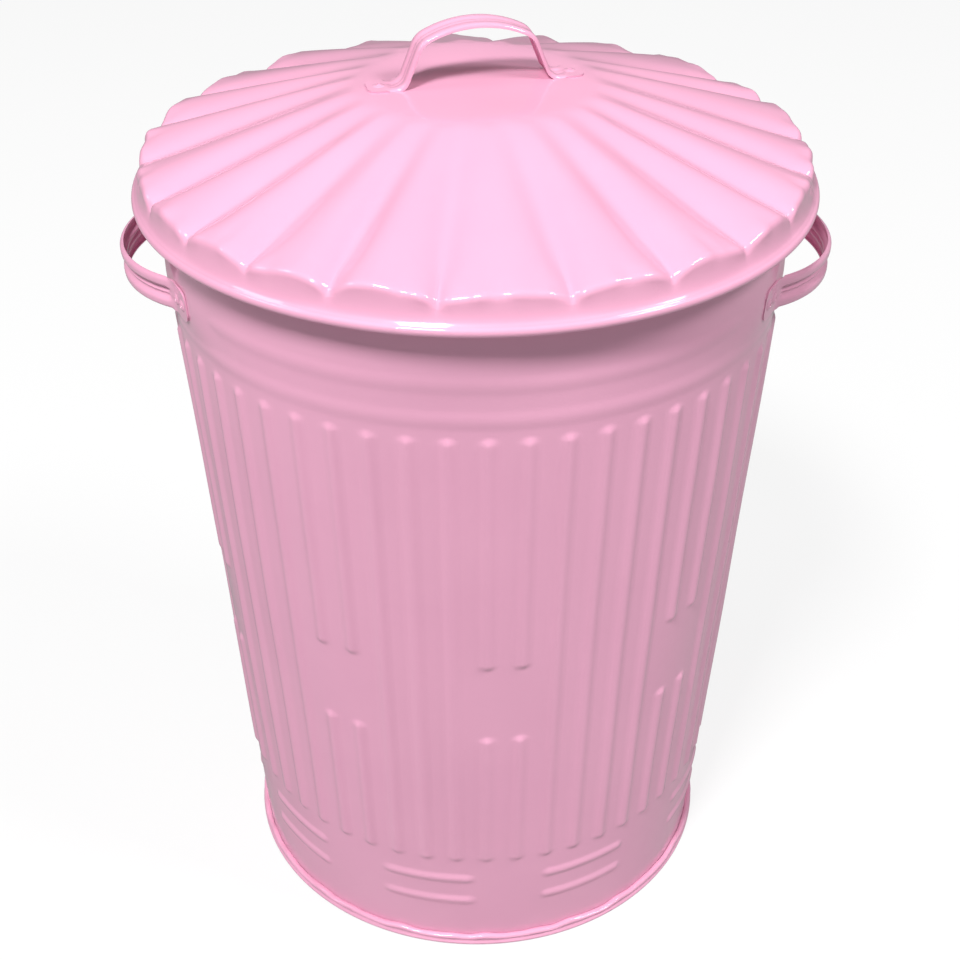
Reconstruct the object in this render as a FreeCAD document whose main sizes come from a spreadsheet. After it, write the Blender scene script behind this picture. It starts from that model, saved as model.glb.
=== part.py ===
import FreeCAD, Part
import math
import os
import Sketcher

# Steel dustbin with a fluted lift-off lid, in millimetres.
# The origin is the middle of the floor under the bin, +Z is up and the front faces -Y.

Vector = FreeCAD.Vector

doc = FreeCAD.newDocument("steel_dustbin")
sheet = doc.addObject("Spreadsheet::Sheet", "Sizes")

# Driving sizes: lengths in mm, angles in degrees, slopes as ratios
DRIVING_SIZES = (
    # Wall
    ("wall_base_radius", 189.4),
    ("wall_taper", 0.0642),
    ("body_height", 612.0),
    ("wall_sheet", 0.7),
    ("rim_wire", 4.0),
    ("rim_wire_gap", 0.2),
    # Rolled hoops below the rim
    ("hoop_bottom", 518.0),
    ("hoop_height", 24.6),
    ("hoop_bulge", 2.0),
    # Upright ribs, some of them broken by a plain stretch
    ("rib_phase", 2.2),
    ("rib_width", 12.5),
    ("rib_rise", 2.4),
    ("rib_bottom", 97.0),
    ("rib_top", 506.5),
    ("break_bottom", 237.0),
    ("break_top", 302.0),
    # Two rows of short beads above the foot
    ("bead_level", 51.0),
    ("bead_pitch", 25.6),
    ("bead_height", 10.0),
    ("bead_rise", 2.0),
    ("bead_span", 22.5),
    # Bottom pan and the fold that holds it to the wall
    ("base_sheet", 0.8),
    ("base_recess", 16.0),
    ("fold_reach", 5.8),
    ("fold_height", 11.0),
    ("fold_round", 2.2),
    ("flange_reach", 3.4),
    ("flange_level", 5.0),
    ("pan_gap", 0.15),
    # Lid pressing
    ("lid_sheet", 0.7),
    ("lid_wire", 5.0),
    ("lid_wire_gap", 0.3),
    ("lid_room", 4.6),
    ("lid_drop", 17.5),
    ("lid_slope", 0.352),
    ("lid_seat_gap", 0.3),
    ("crown_radius", 84.0),
    ("flute_width", 60.0),
    ("flute_rise", 7.4),
    ("flute_start_width", 19.0),
    ("flute_start_rise", 0.2),
    ("flute_sink", 1.0),
    ("shoulder_round", 10.0),
    ("lid_turn", 13.0),
    # Strap that all three handles are made of
    ("strap_width", 24.0),
    ("strap_sheet", 1.2),
    ("channel_width", 13.0),
    ("channel_depth", 3.0),
    # Lid handle
    ("arch_rise", 42.0),
    ("arch_radius", 55.0),
    ("heel_bend", 6.0),
    ("pad_start", 60.0),
    ("pad_end", 77.0),
    ("arch_channel", 108.0),
    # Side handles
    ("grip_radius", 103.0),
    ("grip_reach", 33.0),
    ("root_bend", 12.0),
    ("foot_span", 224.0),
    ("foot_gap", 0.15),
    ("grip_channel", 106.0),
    # Blind rivets
    ("rivet_head", 9.0),
    ("rivet_head_rise", 1.5),
    ("rivet_shank", 4.8),
    ("rivet_bore", 2.8),
    ("rivet_tail", 6.6),
    ("rivet_tail_length", 3.0),
    ("rivet_play", 0.1),
    ("rivet_pitch", 12.0),
    ("rivet_edge", 7.0),
    ("mandrel_play", 0.05),
    ("mandrel_depth", 2.2),
    ("mandrel_head", 4.4),
)

# Counts around the bin. A pair of broken ribs starts each group, and the steps give the ribs in it.
GROUP_STEPS = (6, 6, 6, 5, 6, 6, 6, 6, 5)
FIRST_GROUP_RIB = -23
BROKEN_RIBS = 2
BEAD_ROWS = 2
HOOP_COUNT = 2
FLUTE_COUNT = 22
FLUTE_PHASE = -7.6
RIVETS_PER_FOOT = 2
FULL_TURN = 360.0
HALF_TURN = 180.0
QUARTER_TURN = 90.0
RIB_PITCH = FULL_TURN / sum(GROUP_STEPS)
ACROSS_X = Vector(1, 0, 0)
ACROSS_Y = Vector(0, 1, 0)
UPRIGHT = Vector(0, 0, 1)


class Size:
    """A number together with the expression that gives it from the sheet."""

    def __init__(self, value, text):
        self.value = value
        self.text = text

    @staticmethod
    def of(other):
        return other if isinstance(other, Size) else Size(float(other), repr(float(other)))

    def join(self, other, sign, value):
        return Size(value, "(%s %s %s)" % (self.text, sign, other.text))

    def __add__(self, other):
        other = Size.of(other)
        return self.join(other, "+", self.value + other.value)

    def __sub__(self, other):
        other = Size.of(other)
        return self.join(other, "-", self.value - other.value)

    def __mul__(self, other):
        other = Size.of(other)
        return self.join(other, "*", self.value * other.value)

    def __truediv__(self, other):
        other = Size.of(other)
        return self.join(other, "/", self.value / other.value)

    def __radd__(self, other):
        return Size.of(other) + self

    def __rsub__(self, other):
        return Size.of(other) - self

    def __rmul__(self, other):
        return Size.of(other) * self

    def __neg__(self):
        return Size.of(0.0) - self


def root(size):
    return Size(math.sqrt(size.value), "sqrt(%s)" % size.text)


def slope_angle(size):
    """The angle in degrees whose tangent is the given ratio."""
    return Size(math.degrees(math.atan(size.value)), "atan(%s)" % size.text)


class Sizes:
    """The driving sizes by name, each bound to its cell."""


for row, (alias, number) in enumerate(DRIVING_SIZES, start=1):
    sheet.set("A%d" % row, alias)
    sheet.set("B%d" % row, str(number))
    sheet.setAlias("B%d" % row, alias)
    setattr(Sizes, alias, Size(number, "Sizes." + alias))
doc.recompute()
s = Sizes


# Sizes that follow from the driving ones

def wall_radius(level):
    """Outer radius of the plain wall at a height."""
    return s.wall_base_radius + s.wall_taper * level


def valley_height(radius):
    """Height of the lid's top face along the bottom of a flute, at a distance from the axis."""
    return seat_height + s.lid_slope * (rim_radius - radius)


def flute_line(radius):
    """Height of a flute's ridge at a distance from the axis, straight from crown to wall."""
    run = (radius - s.crown_radius) / (lid_wall_radius - s.crown_radius)
    rise = s.flute_start_rise + (s.flute_rise - s.flute_start_rise) * run
    return valley_height(radius) + rise


def arc_radius(chord, rise):
    """Radius of the arc over a chord with the given rise."""
    return (chord * chord / 4 + rise * rise) / (2 * rise)


wall_stretch = root(1 + s.wall_taper * s.wall_taper)
wall_inset = s.wall_sheet * wall_stretch
rim_tube = s.rim_wire / 2 + s.rim_wire_gap + s.wall_sheet
rim_level = s.body_height - rim_tube
rim_radius = wall_radius(rim_level) - wall_inset + rim_tube

flange_top = s.flange_level + s.wall_sheet
foot_ring_top = (flange_top + s.bead_level - s.bead_height / 2) / 2
bead_band_top = (s.bead_level + s.bead_pitch * (BEAD_ROWS - 1) + s.bead_height / 2 + s.rib_bottom) / 2
rib_band_top = (s.rib_top + s.hoop_bottom) / 2

lid_stretch = root(1 + s.lid_slope * s.lid_slope)
seat_height = rim_level + (rim_tube + s.lid_seat_gap + s.lid_sheet) * lid_stretch
lid_tube = s.lid_wire / 2 + s.lid_wire_gap + s.lid_sheet
lid_bore_radius = rim_radius + rim_tube + s.lid_room
lid_wall_radius = lid_bore_radius + s.lid_sheet
lid_bead_radius = lid_bore_radius + lid_tube
lid_bead_level = s.body_height - s.lid_drop
crown_height = valley_height(s.crown_radius)

handle_level = s.hoop_bottom + s.hoop_height
foot_radius = wall_radius(handle_level) + s.hoop_bulge + s.foot_gap + s.strap_sheet / 2
foot_centre_y = s.foot_span / 2 - s.rivet_edge - s.rivet_pitch / 2
handle_pivot = root(foot_radius * foot_radius - foot_centre_y * foot_centre_y)
handle_lean = slope_angle(s.wall_taper * foot_radius / handle_pivot)
side_grip = s.strap_sheet + s.foot_gap + s.hoop_bulge + s.wall_sheet
lid_grip = s.strap_sheet + s.lid_sheet
rivet_hole = s.rivet_shank / 2 + s.rivet_play


# Helpers for bodies and sketches

def new_body(label):
    body = doc.addObject("PartDesign::Body", label)
    body.Label = label
    return body


def new_sketch(body, name, role, away=None):
    """A sketch on one of the body's own origin planes, moved along its normal if asked."""
    sketch = body.newObject("Sketcher::SketchObject", name)
    planes = [item for item in body.Origin.OriginFeatures if item.Role == role]
    sketch.AttachmentSupport = (planes[0], "")
    sketch.MapMode = "FlatFace"
    if away is not None:
        sketch.setExpression("AttachmentOffset.Base.z", away.text)
    return sketch


def bind_distance(sketch, kind, geometry, end, size):
    """Holds one coordinate of a point to a size, measured from the sketch's origin."""
    if size.value == 0.0:
        axis = -2 if kind == "DistanceX" else -1
        sketch.addConstraint(Sketcher.Constraint("PointOnObject", geometry, end, axis))
        return
    index = sketch.addConstraint(Sketcher.Constraint(kind, -1, 1, geometry, end, size.value))
    sketch.setExpression("Constraints[%d]" % index, size.text)


def bind_radius(sketch, geometry, size):
    index = sketch.addConstraint(Sketcher.Constraint("Radius", geometry, size.value))
    sketch.setExpression("Constraints[%d]" % index, size.text)


def arc_between(start, finish, radius, turn):
    """The short arc from start to finish. Turn is +1 where it bends to the left, -1 to the right."""
    half = (finish - start) * 0.5
    middle = start + half
    left = Vector(-half.y, half.x, 0).normalize()
    centre = middle + left * turn * math.sqrt(max(radius * radius - half.Length ** 2, 0.0))
    circle = Part.Circle(centre, UPRIGHT, radius)
    first, last = (start, finish) if turn > 0 else (finish, start)
    angles = [math.atan2(point.y - centre.y, point.x - centre.x) for point in (first, last)]
    return Part.ArcOfCircle(circle, angles[0], angles[1])


def outline(sketch, corners):
    """A closed outline. A corner is (x, y), or (x, y, radius, turn) where an arc leaves it."""
    points = [Vector(corner[0].value, corner[1].value, 0) for corner in corners]
    ends = []
    for index, corner in enumerate(corners):
        start = points[index]
        finish = points[(index + 1) % len(points)]
        if len(corner) == 2:
            geometry = sketch.addGeometry(Part.LineSegment(start, finish))
            ends.append((geometry, 1, 2))
        else:
            radius, turn = corner[2:]
            geometry = sketch.addGeometry(arc_between(start, finish, radius.value, turn))
            ends.append((geometry, 1, 2) if turn > 0 else (geometry, 2, 1))
    for index, corner in enumerate(corners):
        geometry, first, last = ends[index]
        following, following_first, unused = ends[(index + 1) % len(ends)]
        sketch.addConstraint(Sketcher.Constraint("Coincident", geometry, last, following, following_first))
        bind_distance(sketch, "DistanceX", geometry, first, corner[0])
        bind_distance(sketch, "DistanceY", geometry, first, corner[1])
        if len(corner) > 2:
            bind_radius(sketch, geometry, corner[2])


def revolve(body, name, corners, kind="PartDesign::Revolution"):
    """A full turn of an outline drawn in the upright plane, about the upright axis."""
    sketch = new_sketch(body, name + "_outline", "XZ_Plane")
    outline(sketch, corners)
    feature = body.newObject(kind, name)
    feature.Profile = sketch
    feature.ReferenceAxis = (sketch, ["V_Axis"])
    feature.Angle = FULL_TURN
    return feature


def cut(label, base, tool):
    result = doc.addObject("Part::Cut", label)
    result.Label = label
    result.Base = base
    result.Tool = tool
    return result


def fuse(label, shapes):
    result = doc.addObject("Part::MultiFuse", label)
    result.Label = label
    result.Shapes = shapes
    return result


def group(label, shapes):
    result = doc.addObject("Part::Compound", label)
    result.Label = label
    result.Links = shapes
    return result


def feature_of(label, shapes):
    """An object that holds shapes worked out from the sizes."""
    result = doc.addObject("Part::Feature", label)
    result.Label = label
    result.Shape = Part.makeCompound(shapes)
    return result


def ring(label, ring_radius, thickness_radius, level):
    """A round wire or bore that runs all round the axis."""
    torus = doc.addObject("Part::Torus", label)
    torus.Label = label
    torus.setExpression("Radius1", ring_radius.text)
    torus.setExpression("Radius2", thickness_radius.text)
    torus.setExpression("Placement.Base.z", level.text)
    return torus


def mirror(label, source, normal):
    result = doc.addObject("Part::Mirroring", label)
    result.Label = label
    result.Source = source
    result.Normal = normal
    return result


def turn_with_lid(item):
    """Turns a finished piece of the lid about the axis, as the lid lies on the bin."""
    item.Placement = FreeCAD.Placement(Vector(), FreeCAD.Rotation(UPRIGHT, s.lid_turn.value))
    item.setExpression("Placement.Rotation.Angle", s.lid_turn.text)


# Pressed forms on the wall

def around(shape, degrees):
    """A copy of a shape that faces +X, turned to an angle counted from the front."""
    copy = shape.copy()
    copy.rotate(Vector(), UPRIGHT, degrees - QUARTER_TURN)
    return copy


def joined(pieces):
    """One clean solid from pieces that meet face to face."""
    return pieces[0].multiFuse(pieces[1:]).removeSplitter()


def round_bar(radius, start, finish):
    """A bar with ball ends, from the centre of one ball to the centre of the other."""
    along = finish - start
    tip = Vector(0, 0, -radius)
    side = Vector(radius, 0, 0)
    far_side = Vector(radius, 0, along.Length)
    far_tip = Vector(0, 0, along.Length + radius)
    bow = radius * math.sqrt(0.5)
    edges = [
        Part.Arc(tip, Vector(bow, 0, -bow), side).toShape(),
        Part.LineSegment(side, far_side).toShape(),
        Part.Arc(far_side, Vector(bow, 0, along.Length + bow), far_tip).toShape(),
        Part.LineSegment(far_tip, tip).toShape(),
    ]
    bar = Part.Face(Part.Wire(edges)).revolve(Vector(), UPRIGHT, FULL_TURN)
    bar.Placement = FreeCAD.Placement(start, FreeCAD.Rotation(UPRIGHT, along))
    return bar


def sunk_point(level, depth):
    """A point under the wall's outer face, square to it, in the plane that faces +X."""
    lean = s.wall_taper.value
    stretch = wall_stretch.value
    radius = wall_radius(Size.of(level)).value
    return Vector(radius - depth / stretch, 0, level + depth * lean / stretch)


def wall_wedge(bottom, top, inset, sweep):
    """A slice of the filled wall between two levels, which faces +X."""
    foot = wall_radius(Size.of(bottom)).value - inset * wall_stretch.value
    head = wall_radius(Size.of(top)).value - inset * wall_stretch.value
    corners = [(0, bottom), (foot, bottom), (head, top), (0, top), (0, bottom)]
    face = Part.Face(Part.makePolygon([Vector(radius, 0, level) for radius, level in corners]))
    face.rotate(Vector(), UPRIGHT, -sweep / 2)
    return face.revolve(Vector(), UPRIGHT, sweep)


def pressed_wedge(bottom, top, sweep, presses):
    """A slice of the sheet wall with forms pressed outwards. Presses gives them at an inset."""
    sheet_inset = s.wall_sheet.value
    spare = s.rim_wire.value
    outside = wall_wedge(bottom, top, 0.0, sweep)
    inside = wall_wedge(bottom - spare, top + spare, sheet_inset, sweep * 2)
    if presses is not None:
        outside = outside.multiFuse(presses(0.0))
        inside = inside.multiFuse(presses(sheet_inset))
    return outside.cut(inside)


def rib_groups():
    """The number of each group's first rib, and how many ribs the group has."""
    first = FIRST_GROUP_RIB
    for count in GROUP_STEPS:
        yield first, count
        first += count


def rib_angle(number):
    return s.rib_phase.value + RIB_PITCH * number


def make_rib_band():
    """The stretch of the wall that carries the upright ribs."""
    press = arc_radius(s.rib_width, s.rib_rise).value
    depth = press - s.rib_rise.value
    half = s.rib_width.value / 2

    def rib(bottom, top, inset):
        return round_bar(press - inset, sunk_point(bottom + half, depth), sunk_point(top - half, depth))

    def whole(inset):
        return [rib(s.rib_bottom.value, s.rib_top.value, inset)]

    def broken(inset):
        return [
            rib(s.rib_bottom.value, s.break_bottom.value, inset),
            rib(s.break_top.value, s.rib_top.value, inset),
        ]

    levels = (bead_band_top.value, rib_band_top.value)
    whole_wedge = pressed_wedge(*levels, RIB_PITCH, whole)
    broken_wedge = pressed_wedge(*levels, RIB_PITCH, broken)
    wedges = []
    for first, count in rib_groups():
        for place in range(count):
            wedge = broken_wedge if place < BROKEN_RIBS else whole_wedge
            wedges.append(around(wedge, rib_angle(first + place)))
    return feature_of("rib_band", [joined(wedges)])


def make_bead_band():
    """The stretch of the wall that carries the short beads, one pair under each group of whole ribs."""
    press = arc_radius(s.bead_height, s.bead_rise).value
    depth = press - s.bead_rise.value
    end_angle = math.degrees(s.bead_height.value / 2 / s.wall_base_radius.value)
    reach = s.bead_span.value / 2 - end_angle

    def beads(inset):
        forms = []
        for row in range(BEAD_ROWS):
            centre = sunk_point(s.bead_level.value + s.bead_pitch.value * row, depth)
            face = Part.Face(Part.Wire(Part.makeCircle(press - inset, centre, ACROSS_Y)))
            face.rotate(Vector(), UPRIGHT, -reach)
            run = face.revolve(Vector(), UPRIGHT, 2 * reach)
            far_end = Part.makeSphere(press - inset, centre, UPRIGHT, -QUARTER_TURN, QUARTER_TURN, HALF_TURN)
            near_end = far_end.copy()
            near_end.rotate(centre, UPRIGHT, HALF_TURN)
            far_end.rotate(Vector(), UPRIGHT, reach)
            near_end.rotate(Vector(), UPRIGHT, -reach)
            forms.append(run.multiFuse([near_end, far_end]))
        return forms

    levels = (foot_ring_top.value, bead_band_top.value)
    sweep = s.bead_span.value + 2 * end_angle
    beaded = pressed_wedge(*levels, sweep, beads)
    centres = []
    for first, count in rib_groups():
        centres.append(rib_angle(first + BROKEN_RIBS + (count - BROKEN_RIBS - 1) / 2))
    wedges = []
    for centre, following in zip(centres, centres[1:] + [centres[0] + FULL_TURN]):
        plain = pressed_wedge(*levels, following - centre - sweep, None)
        wedges.append(around(beaded, centre))
        wedges.append(around(plain, (centre + following) / 2))
    return feature_of("bead_band", [joined(wedges)])


# Body shell: foot flange, beads, ribs, hoops and curled rim

def make_body_shell(rivet_holes):
    flange_edge = wall_radius(s.flange_level) + s.flange_reach
    foot = new_body("foot_ring")
    revolve(foot, "foot_ring_turn", [
        (wall_radius(s.flange_level) - wall_inset, s.flange_level),
        (flange_edge, s.flange_level),
        (flange_edge, flange_top),
        (wall_radius(flange_top), flange_top),
        (wall_radius(foot_ring_top), foot_ring_top),
        (wall_radius(foot_ring_top) - wall_inset, foot_ring_top),
    ])
    # The hoops' inner arcs have the outer arcs' centres, so the sheet keeps its thickness
    levels = [s.hoop_bottom + s.hoop_height * step for step in range(HOOP_COUNT + 1)]
    bulge = arc_radius(s.hoop_height, s.hoop_bulge)
    hoops_up = [(wall_radius(level), level, bulge, 1) for level in levels[:-1]]
    hoops_down = [(wall_radius(level) - wall_inset, level, bulge, -1) for level in levels[:0:-1]]
    top = new_body("top_ring")
    revolve(top, "top_ring_turn", [
        (wall_radius(rib_band_top), rib_band_top),
        *hoops_up,
        (wall_radius(levels[-1]), levels[-1]),
        (wall_radius(rim_level), rim_level),
        (wall_radius(rim_level) - wall_inset, rim_level),
        *hoops_down,
        (wall_radius(levels[0]) - wall_inset, levels[0]),
        (wall_radius(rib_band_top) - wall_inset, rib_band_top),
    ])
    curl = ring("rim_curl", rim_radius, rim_tube, rim_level)
    wall = fuse("body_wall", [foot, make_bead_band(), make_rib_band(), top, curl])
    bore = ring("rim_bore", rim_radius, s.rim_wire / 2 + s.rim_wire_gap, rim_level)
    return cut("body_shell", wall, group("body_bores", [bore, *rivet_holes]))


# Base pan: recessed bottom whose edge is folded round the wall's flange

def make_base_pan():
    zero = Size.of(0.0)
    pan_side = wall_radius(s.flange_level) - wall_inset - s.pan_gap
    fold_edge = s.wall_base_radius + s.fold_reach
    lip_edge = wall_radius(s.fold_height) + s.pan_gap
    floor_under = s.base_recess - s.base_sheet
    bend = s.fold_round
    inner_bend = s.fold_round - s.base_sheet
    pan = new_body("base_pan")
    revolve(pan, "base_pan_turn", [
        (zero, floor_under),
        (pan_side - s.base_sheet, floor_under),
        (pan_side - s.base_sheet, zero),
        (fold_edge - bend, zero, bend, 1),
        (fold_edge, bend),
        (fold_edge, s.fold_height - bend, bend, 1),
        (fold_edge - bend, s.fold_height),
        (lip_edge, s.fold_height),
        (lip_edge, s.fold_height - s.base_sheet),
        (fold_edge - bend, s.fold_height - s.base_sheet, inner_bend, -1),
        (fold_edge - s.base_sheet, s.fold_height - bend),
        (fold_edge - s.base_sheet, bend, inner_bend, -1),
        (fold_edge - bend, s.base_sheet),
        (pan_side, s.base_sheet),
        (pan_side, s.base_recess),
        (zero, s.base_recess),
    ])
    return pan


# Lid shell: fluted cone, upright skirt and rolled edge

def flute_section(body, name, radius, width, rise, inset):
    """The cross-section of one flute at a distance from the axis, drawn square to it."""
    bow = arc_radius(width, rise + s.flute_sink)
    centre_drop = bow - rise - s.flute_sink
    half = root((bow - inset) * (bow - inset) - centre_drop * centre_drop)
    chord = valley_height(radius) - s.flute_sink
    floor = chord - s.flute_rise
    sketch = new_sketch(body, name, "YZ_Plane", radius)
    outline(sketch, [
        (half, chord, bow - inset, 1),
        (-half, chord),
        (-half, floor),
        (half, floor),
    ])
    return sketch


def lid_form(label, inset, sweep):
    """A filled slice of the lid with one flute: its top face, or its underside where inset is its sheet."""
    zero = Size.of(0.0)
    drop = inset * lid_stretch
    side = lid_wall_radius - inset
    foot = lid_bead_level - lid_tube * inset / s.lid_sheet
    body = new_body(label)
    slice_turn = revolve(body, label + "_turn", [
        (zero, foot),
        (side, foot),
        (side, valley_height(side) - drop),
        (s.crown_radius, crown_height - drop),
        (zero, crown_height - drop),
    ])
    slice_turn.Angle = sweep
    slice_turn.Midplane = True
    # The ridge runs on past the wall, so that its rounded end can be cut back from it
    end_radius = lid_wall_radius + s.shoulder_round
    start = flute_section(
        body, label + "_start", s.crown_radius, s.flute_start_width, s.flute_start_rise, inset)
    end_rise = flute_line(end_radius) - valley_height(end_radius)
    end = flute_section(body, label + "_end", end_radius, s.flute_width, end_rise, inset)
    flute = body.newObject("PartDesign::AdditiveLoft", label + "_flute")
    flute.Profile = start
    flute.Sections = [end]
    flute.Ruled = True
    doc.recompute()
    # The shoulder's arc touches the ridge line, so the ridge runs into it without a step
    ridge_run = lid_wall_radius - s.crown_radius
    ridge_fall = (flute_line(s.crown_radius) - flute_line(lid_wall_radius)) / ridge_run
    ridge_stretch = root(1 + ridge_fall * ridge_fall)
    centre_radius = lid_wall_radius - s.shoulder_round
    centre_level = flute_line(centre_radius) - s.shoulder_round * ridge_stretch
    bend = s.shoulder_round - inset
    touch_radius = centre_radius + bend * ridge_fall / ridge_stretch
    touch_level = centre_level + bend / ridge_stretch
    above = touch_level + s.flute_rise * 2
    below = lid_bead_level - s.flute_rise * 2
    outside = end_radius + s.shoulder_round
    revolve(body, label + "_shoulder", [
        (side, centre_level, bend, 1),
        (touch_radius, touch_level),
        (touch_radius, above),
        (outside, above),
        (outside, below),
        (side, below),
    ], "PartDesign::Groove")
    return body


def make_lid_shell(rivet_holes):
    pitch = FULL_TURN / FLUTE_COUNT
    outer = lid_form("lid_outside", Size.of(0.0), pitch)
    inner = lid_form("lid_inside", s.lid_sheet, pitch * 2)
    one_flute = cut("lid_slice", outer, inner)
    doc.recompute()
    slices = [around(one_flute.Shape, FLUTE_PHASE + pitch * number) for number in range(FLUTE_COUNT)]
    pressing = feature_of("lid_pressing", [joined(slices)])
    edge = ring("lid_edge_roll", lid_bead_radius, lid_tube, lid_bead_level)
    filled = fuse("lid_with_roll", [pressing, edge])
    bore = ring("lid_edge_bore", lid_bead_radius, s.lid_wire / 2 + s.lid_wire_gap, lid_bead_level)
    return cut("lid_shell", filled, group("lid_bores", [bore, *rivet_holes]))


# Strap handles

def strap_section(body, name, plane, corners, flip):
    """A cross-section of the strap. Flip swaps its two directions, where the width runs up the sketch."""
    sketch = new_sketch(body, name, plane)
    if flip:
        corners = [(y, x, *rest[:1], *(-turn for turn in rest[1:])) for x, y, *rest in corners]
    outline(sketch, corners)
    return sketch


def flat_strip(body, plane, middle, path, flip):
    """Half of the flat strap, swept from the bow's middle outwards, and its other half."""
    half = s.strap_width / 2
    inner = middle - s.strap_sheet / 2
    outer = middle + s.strap_sheet / 2
    corners = [(half, inner), (half, outer), (-half, outer), (-half, inner)]
    strip = body.newObject("PartDesign::AdditivePipe", "strip")
    strip.Profile = strap_section(body, "strip_section", plane, corners, flip)
    strip.Spine = (path, ["Edge%d" % (number + 1) for number in range(path.GeometryCount)])
    doc.recompute()
    mirrored(body, [strip], plane)


def press_channel(body, plane, middle, bow_radius, sweep, flip):
    """The channel pressed into the bow: its back is raised first, then its hollow is cut."""
    inner = middle - s.strap_sheet / 2
    outer = middle + s.strap_sheet / 2
    press = arc_radius(s.channel_width, s.channel_depth)
    centre = outer - s.channel_depth + press
    back = press + s.strap_sheet
    back_level = (inner + outer) / 2
    mouth_level = outer + s.strap_sheet
    steps = (
        ("channel_back", "PartDesign::Revolution", back, back_level),
        ("channel_hollow", "PartDesign::Groove", press, mouth_level),
    )
    for name, kind, radius, level in steps:
        half = root(radius * radius - (centre - level) * (centre - level))
        corners = [(-half, level, radius, 1), (half, level)]
        sketch = strap_section(body, name + "_section", plane, corners, flip)
        axis_level = middle - bow_radius
        ends = [Vector(-half.value, axis_level.value, 0), Vector(half.value, axis_level.value, 0)]
        if flip:
            ends = [Vector(end.y, end.x, 0) for end in ends]
        axis = sketch.addGeometry(Part.LineSegment(*ends), True)
        for end in (1, 2):
            bind_distance(sketch, "DistanceX" if flip else "DistanceY", axis, end, axis_level)
        feature = body.newObject(kind, name)
        feature.Profile = sketch
        feature.ReferenceAxis = (sketch, ["Axis0"])
        feature.Midplane = True
        feature.setExpression("Angle", sweep.text)
        doc.recompute()


def mirrored(body, originals, role):
    planes = [item for item in body.Origin.OriginFeatures if item.Role == role]
    feature = body.newObject("PartDesign::Mirrored", "other_half")
    feature.Originals = originals
    feature.MirrorPlane = (planes[0], [""])
    body.Tip = feature


def tangent(sketch, first, first_end, second, second_end):
    sketch.addConstraint(Sketcher.Constraint("Tangent", first, first_end, second, second_end))


def make_lid_handle(rivet_holes):
    """Bow over the crown: arch, straight leg, heel bend and flat pad, with z = 0 on the crown."""
    body = new_body("lid_handle_strap")
    path = new_sketch(body, "handle_path", "XZ_Plane")
    pad_level = s.strap_sheet / 2
    middle = pad_level + s.arch_rise
    # First guess of the path, which the constraints then hold: the heel circle's centre lies
    # above the pad's start, and the leg touches both circles on opposite sides
    arch_centre = Vector(0, middle.value - s.arch_radius.value, 0)
    heel_centre = Vector(s.pad_start.value, pad_level.value + s.heel_bend.value, 0)
    across = heel_centre - arch_centre
    both = s.arch_radius.value + s.heel_bend.value
    angle = math.atan2(across.y, across.x) + math.acos(both / across.Length)
    out = Vector(math.cos(angle), math.sin(angle), 0)
    arch_end = arch_centre + out * s.arch_radius.value
    heel_start = heel_centre - out * s.heel_bend.value
    pad_start = Vector(s.pad_start.value, pad_level.value, 0)
    pad_end = Vector(s.pad_end.value, pad_level.value, 0)
    apex = Vector(0, middle.value, 0)
    arch = path.addGeometry(arc_between(apex, arch_end, s.arch_radius.value, -1))
    leg = path.addGeometry(Part.LineSegment(arch_end, heel_start))
    heel = path.addGeometry(arc_between(heel_start, pad_start, s.heel_bend.value, 1))
    pad = path.addGeometry(Part.LineSegment(pad_start, pad_end))
    path.addConstraint(Sketcher.Constraint("PointOnObject", arch, 2, -2))
    path.addConstraint(Sketcher.Constraint("PointOnObject", arch, 3, -2))
    tangent(path, arch, 1, leg, 1)
    tangent(path, leg, 2, heel, 1)
    tangent(path, heel, 2, pad, 1)
    path.addConstraint(Sketcher.Constraint("Horizontal", pad))
    bind_radius(path, arch, s.arch_radius)
    bind_radius(path, heel, s.heel_bend)
    bind_distance(path, "DistanceY", arch, 2, middle)
    bind_distance(path, "DistanceY", pad, 2, pad_level)
    bind_distance(path, "DistanceX", pad, 1, s.pad_start)
    bind_distance(path, "DistanceX", pad, 2, s.pad_end)
    doc.recompute()
    flat_strip(body, "YZ_Plane", middle, path, False)
    press_channel(body, "YZ_Plane", middle, s.arch_radius, s.arch_channel, False)
    body.setExpression("Placement.Base.z", crown_height.text)
    return cut("lid_handle", body, group("lid_handle_holes", rivet_holes))


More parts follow.
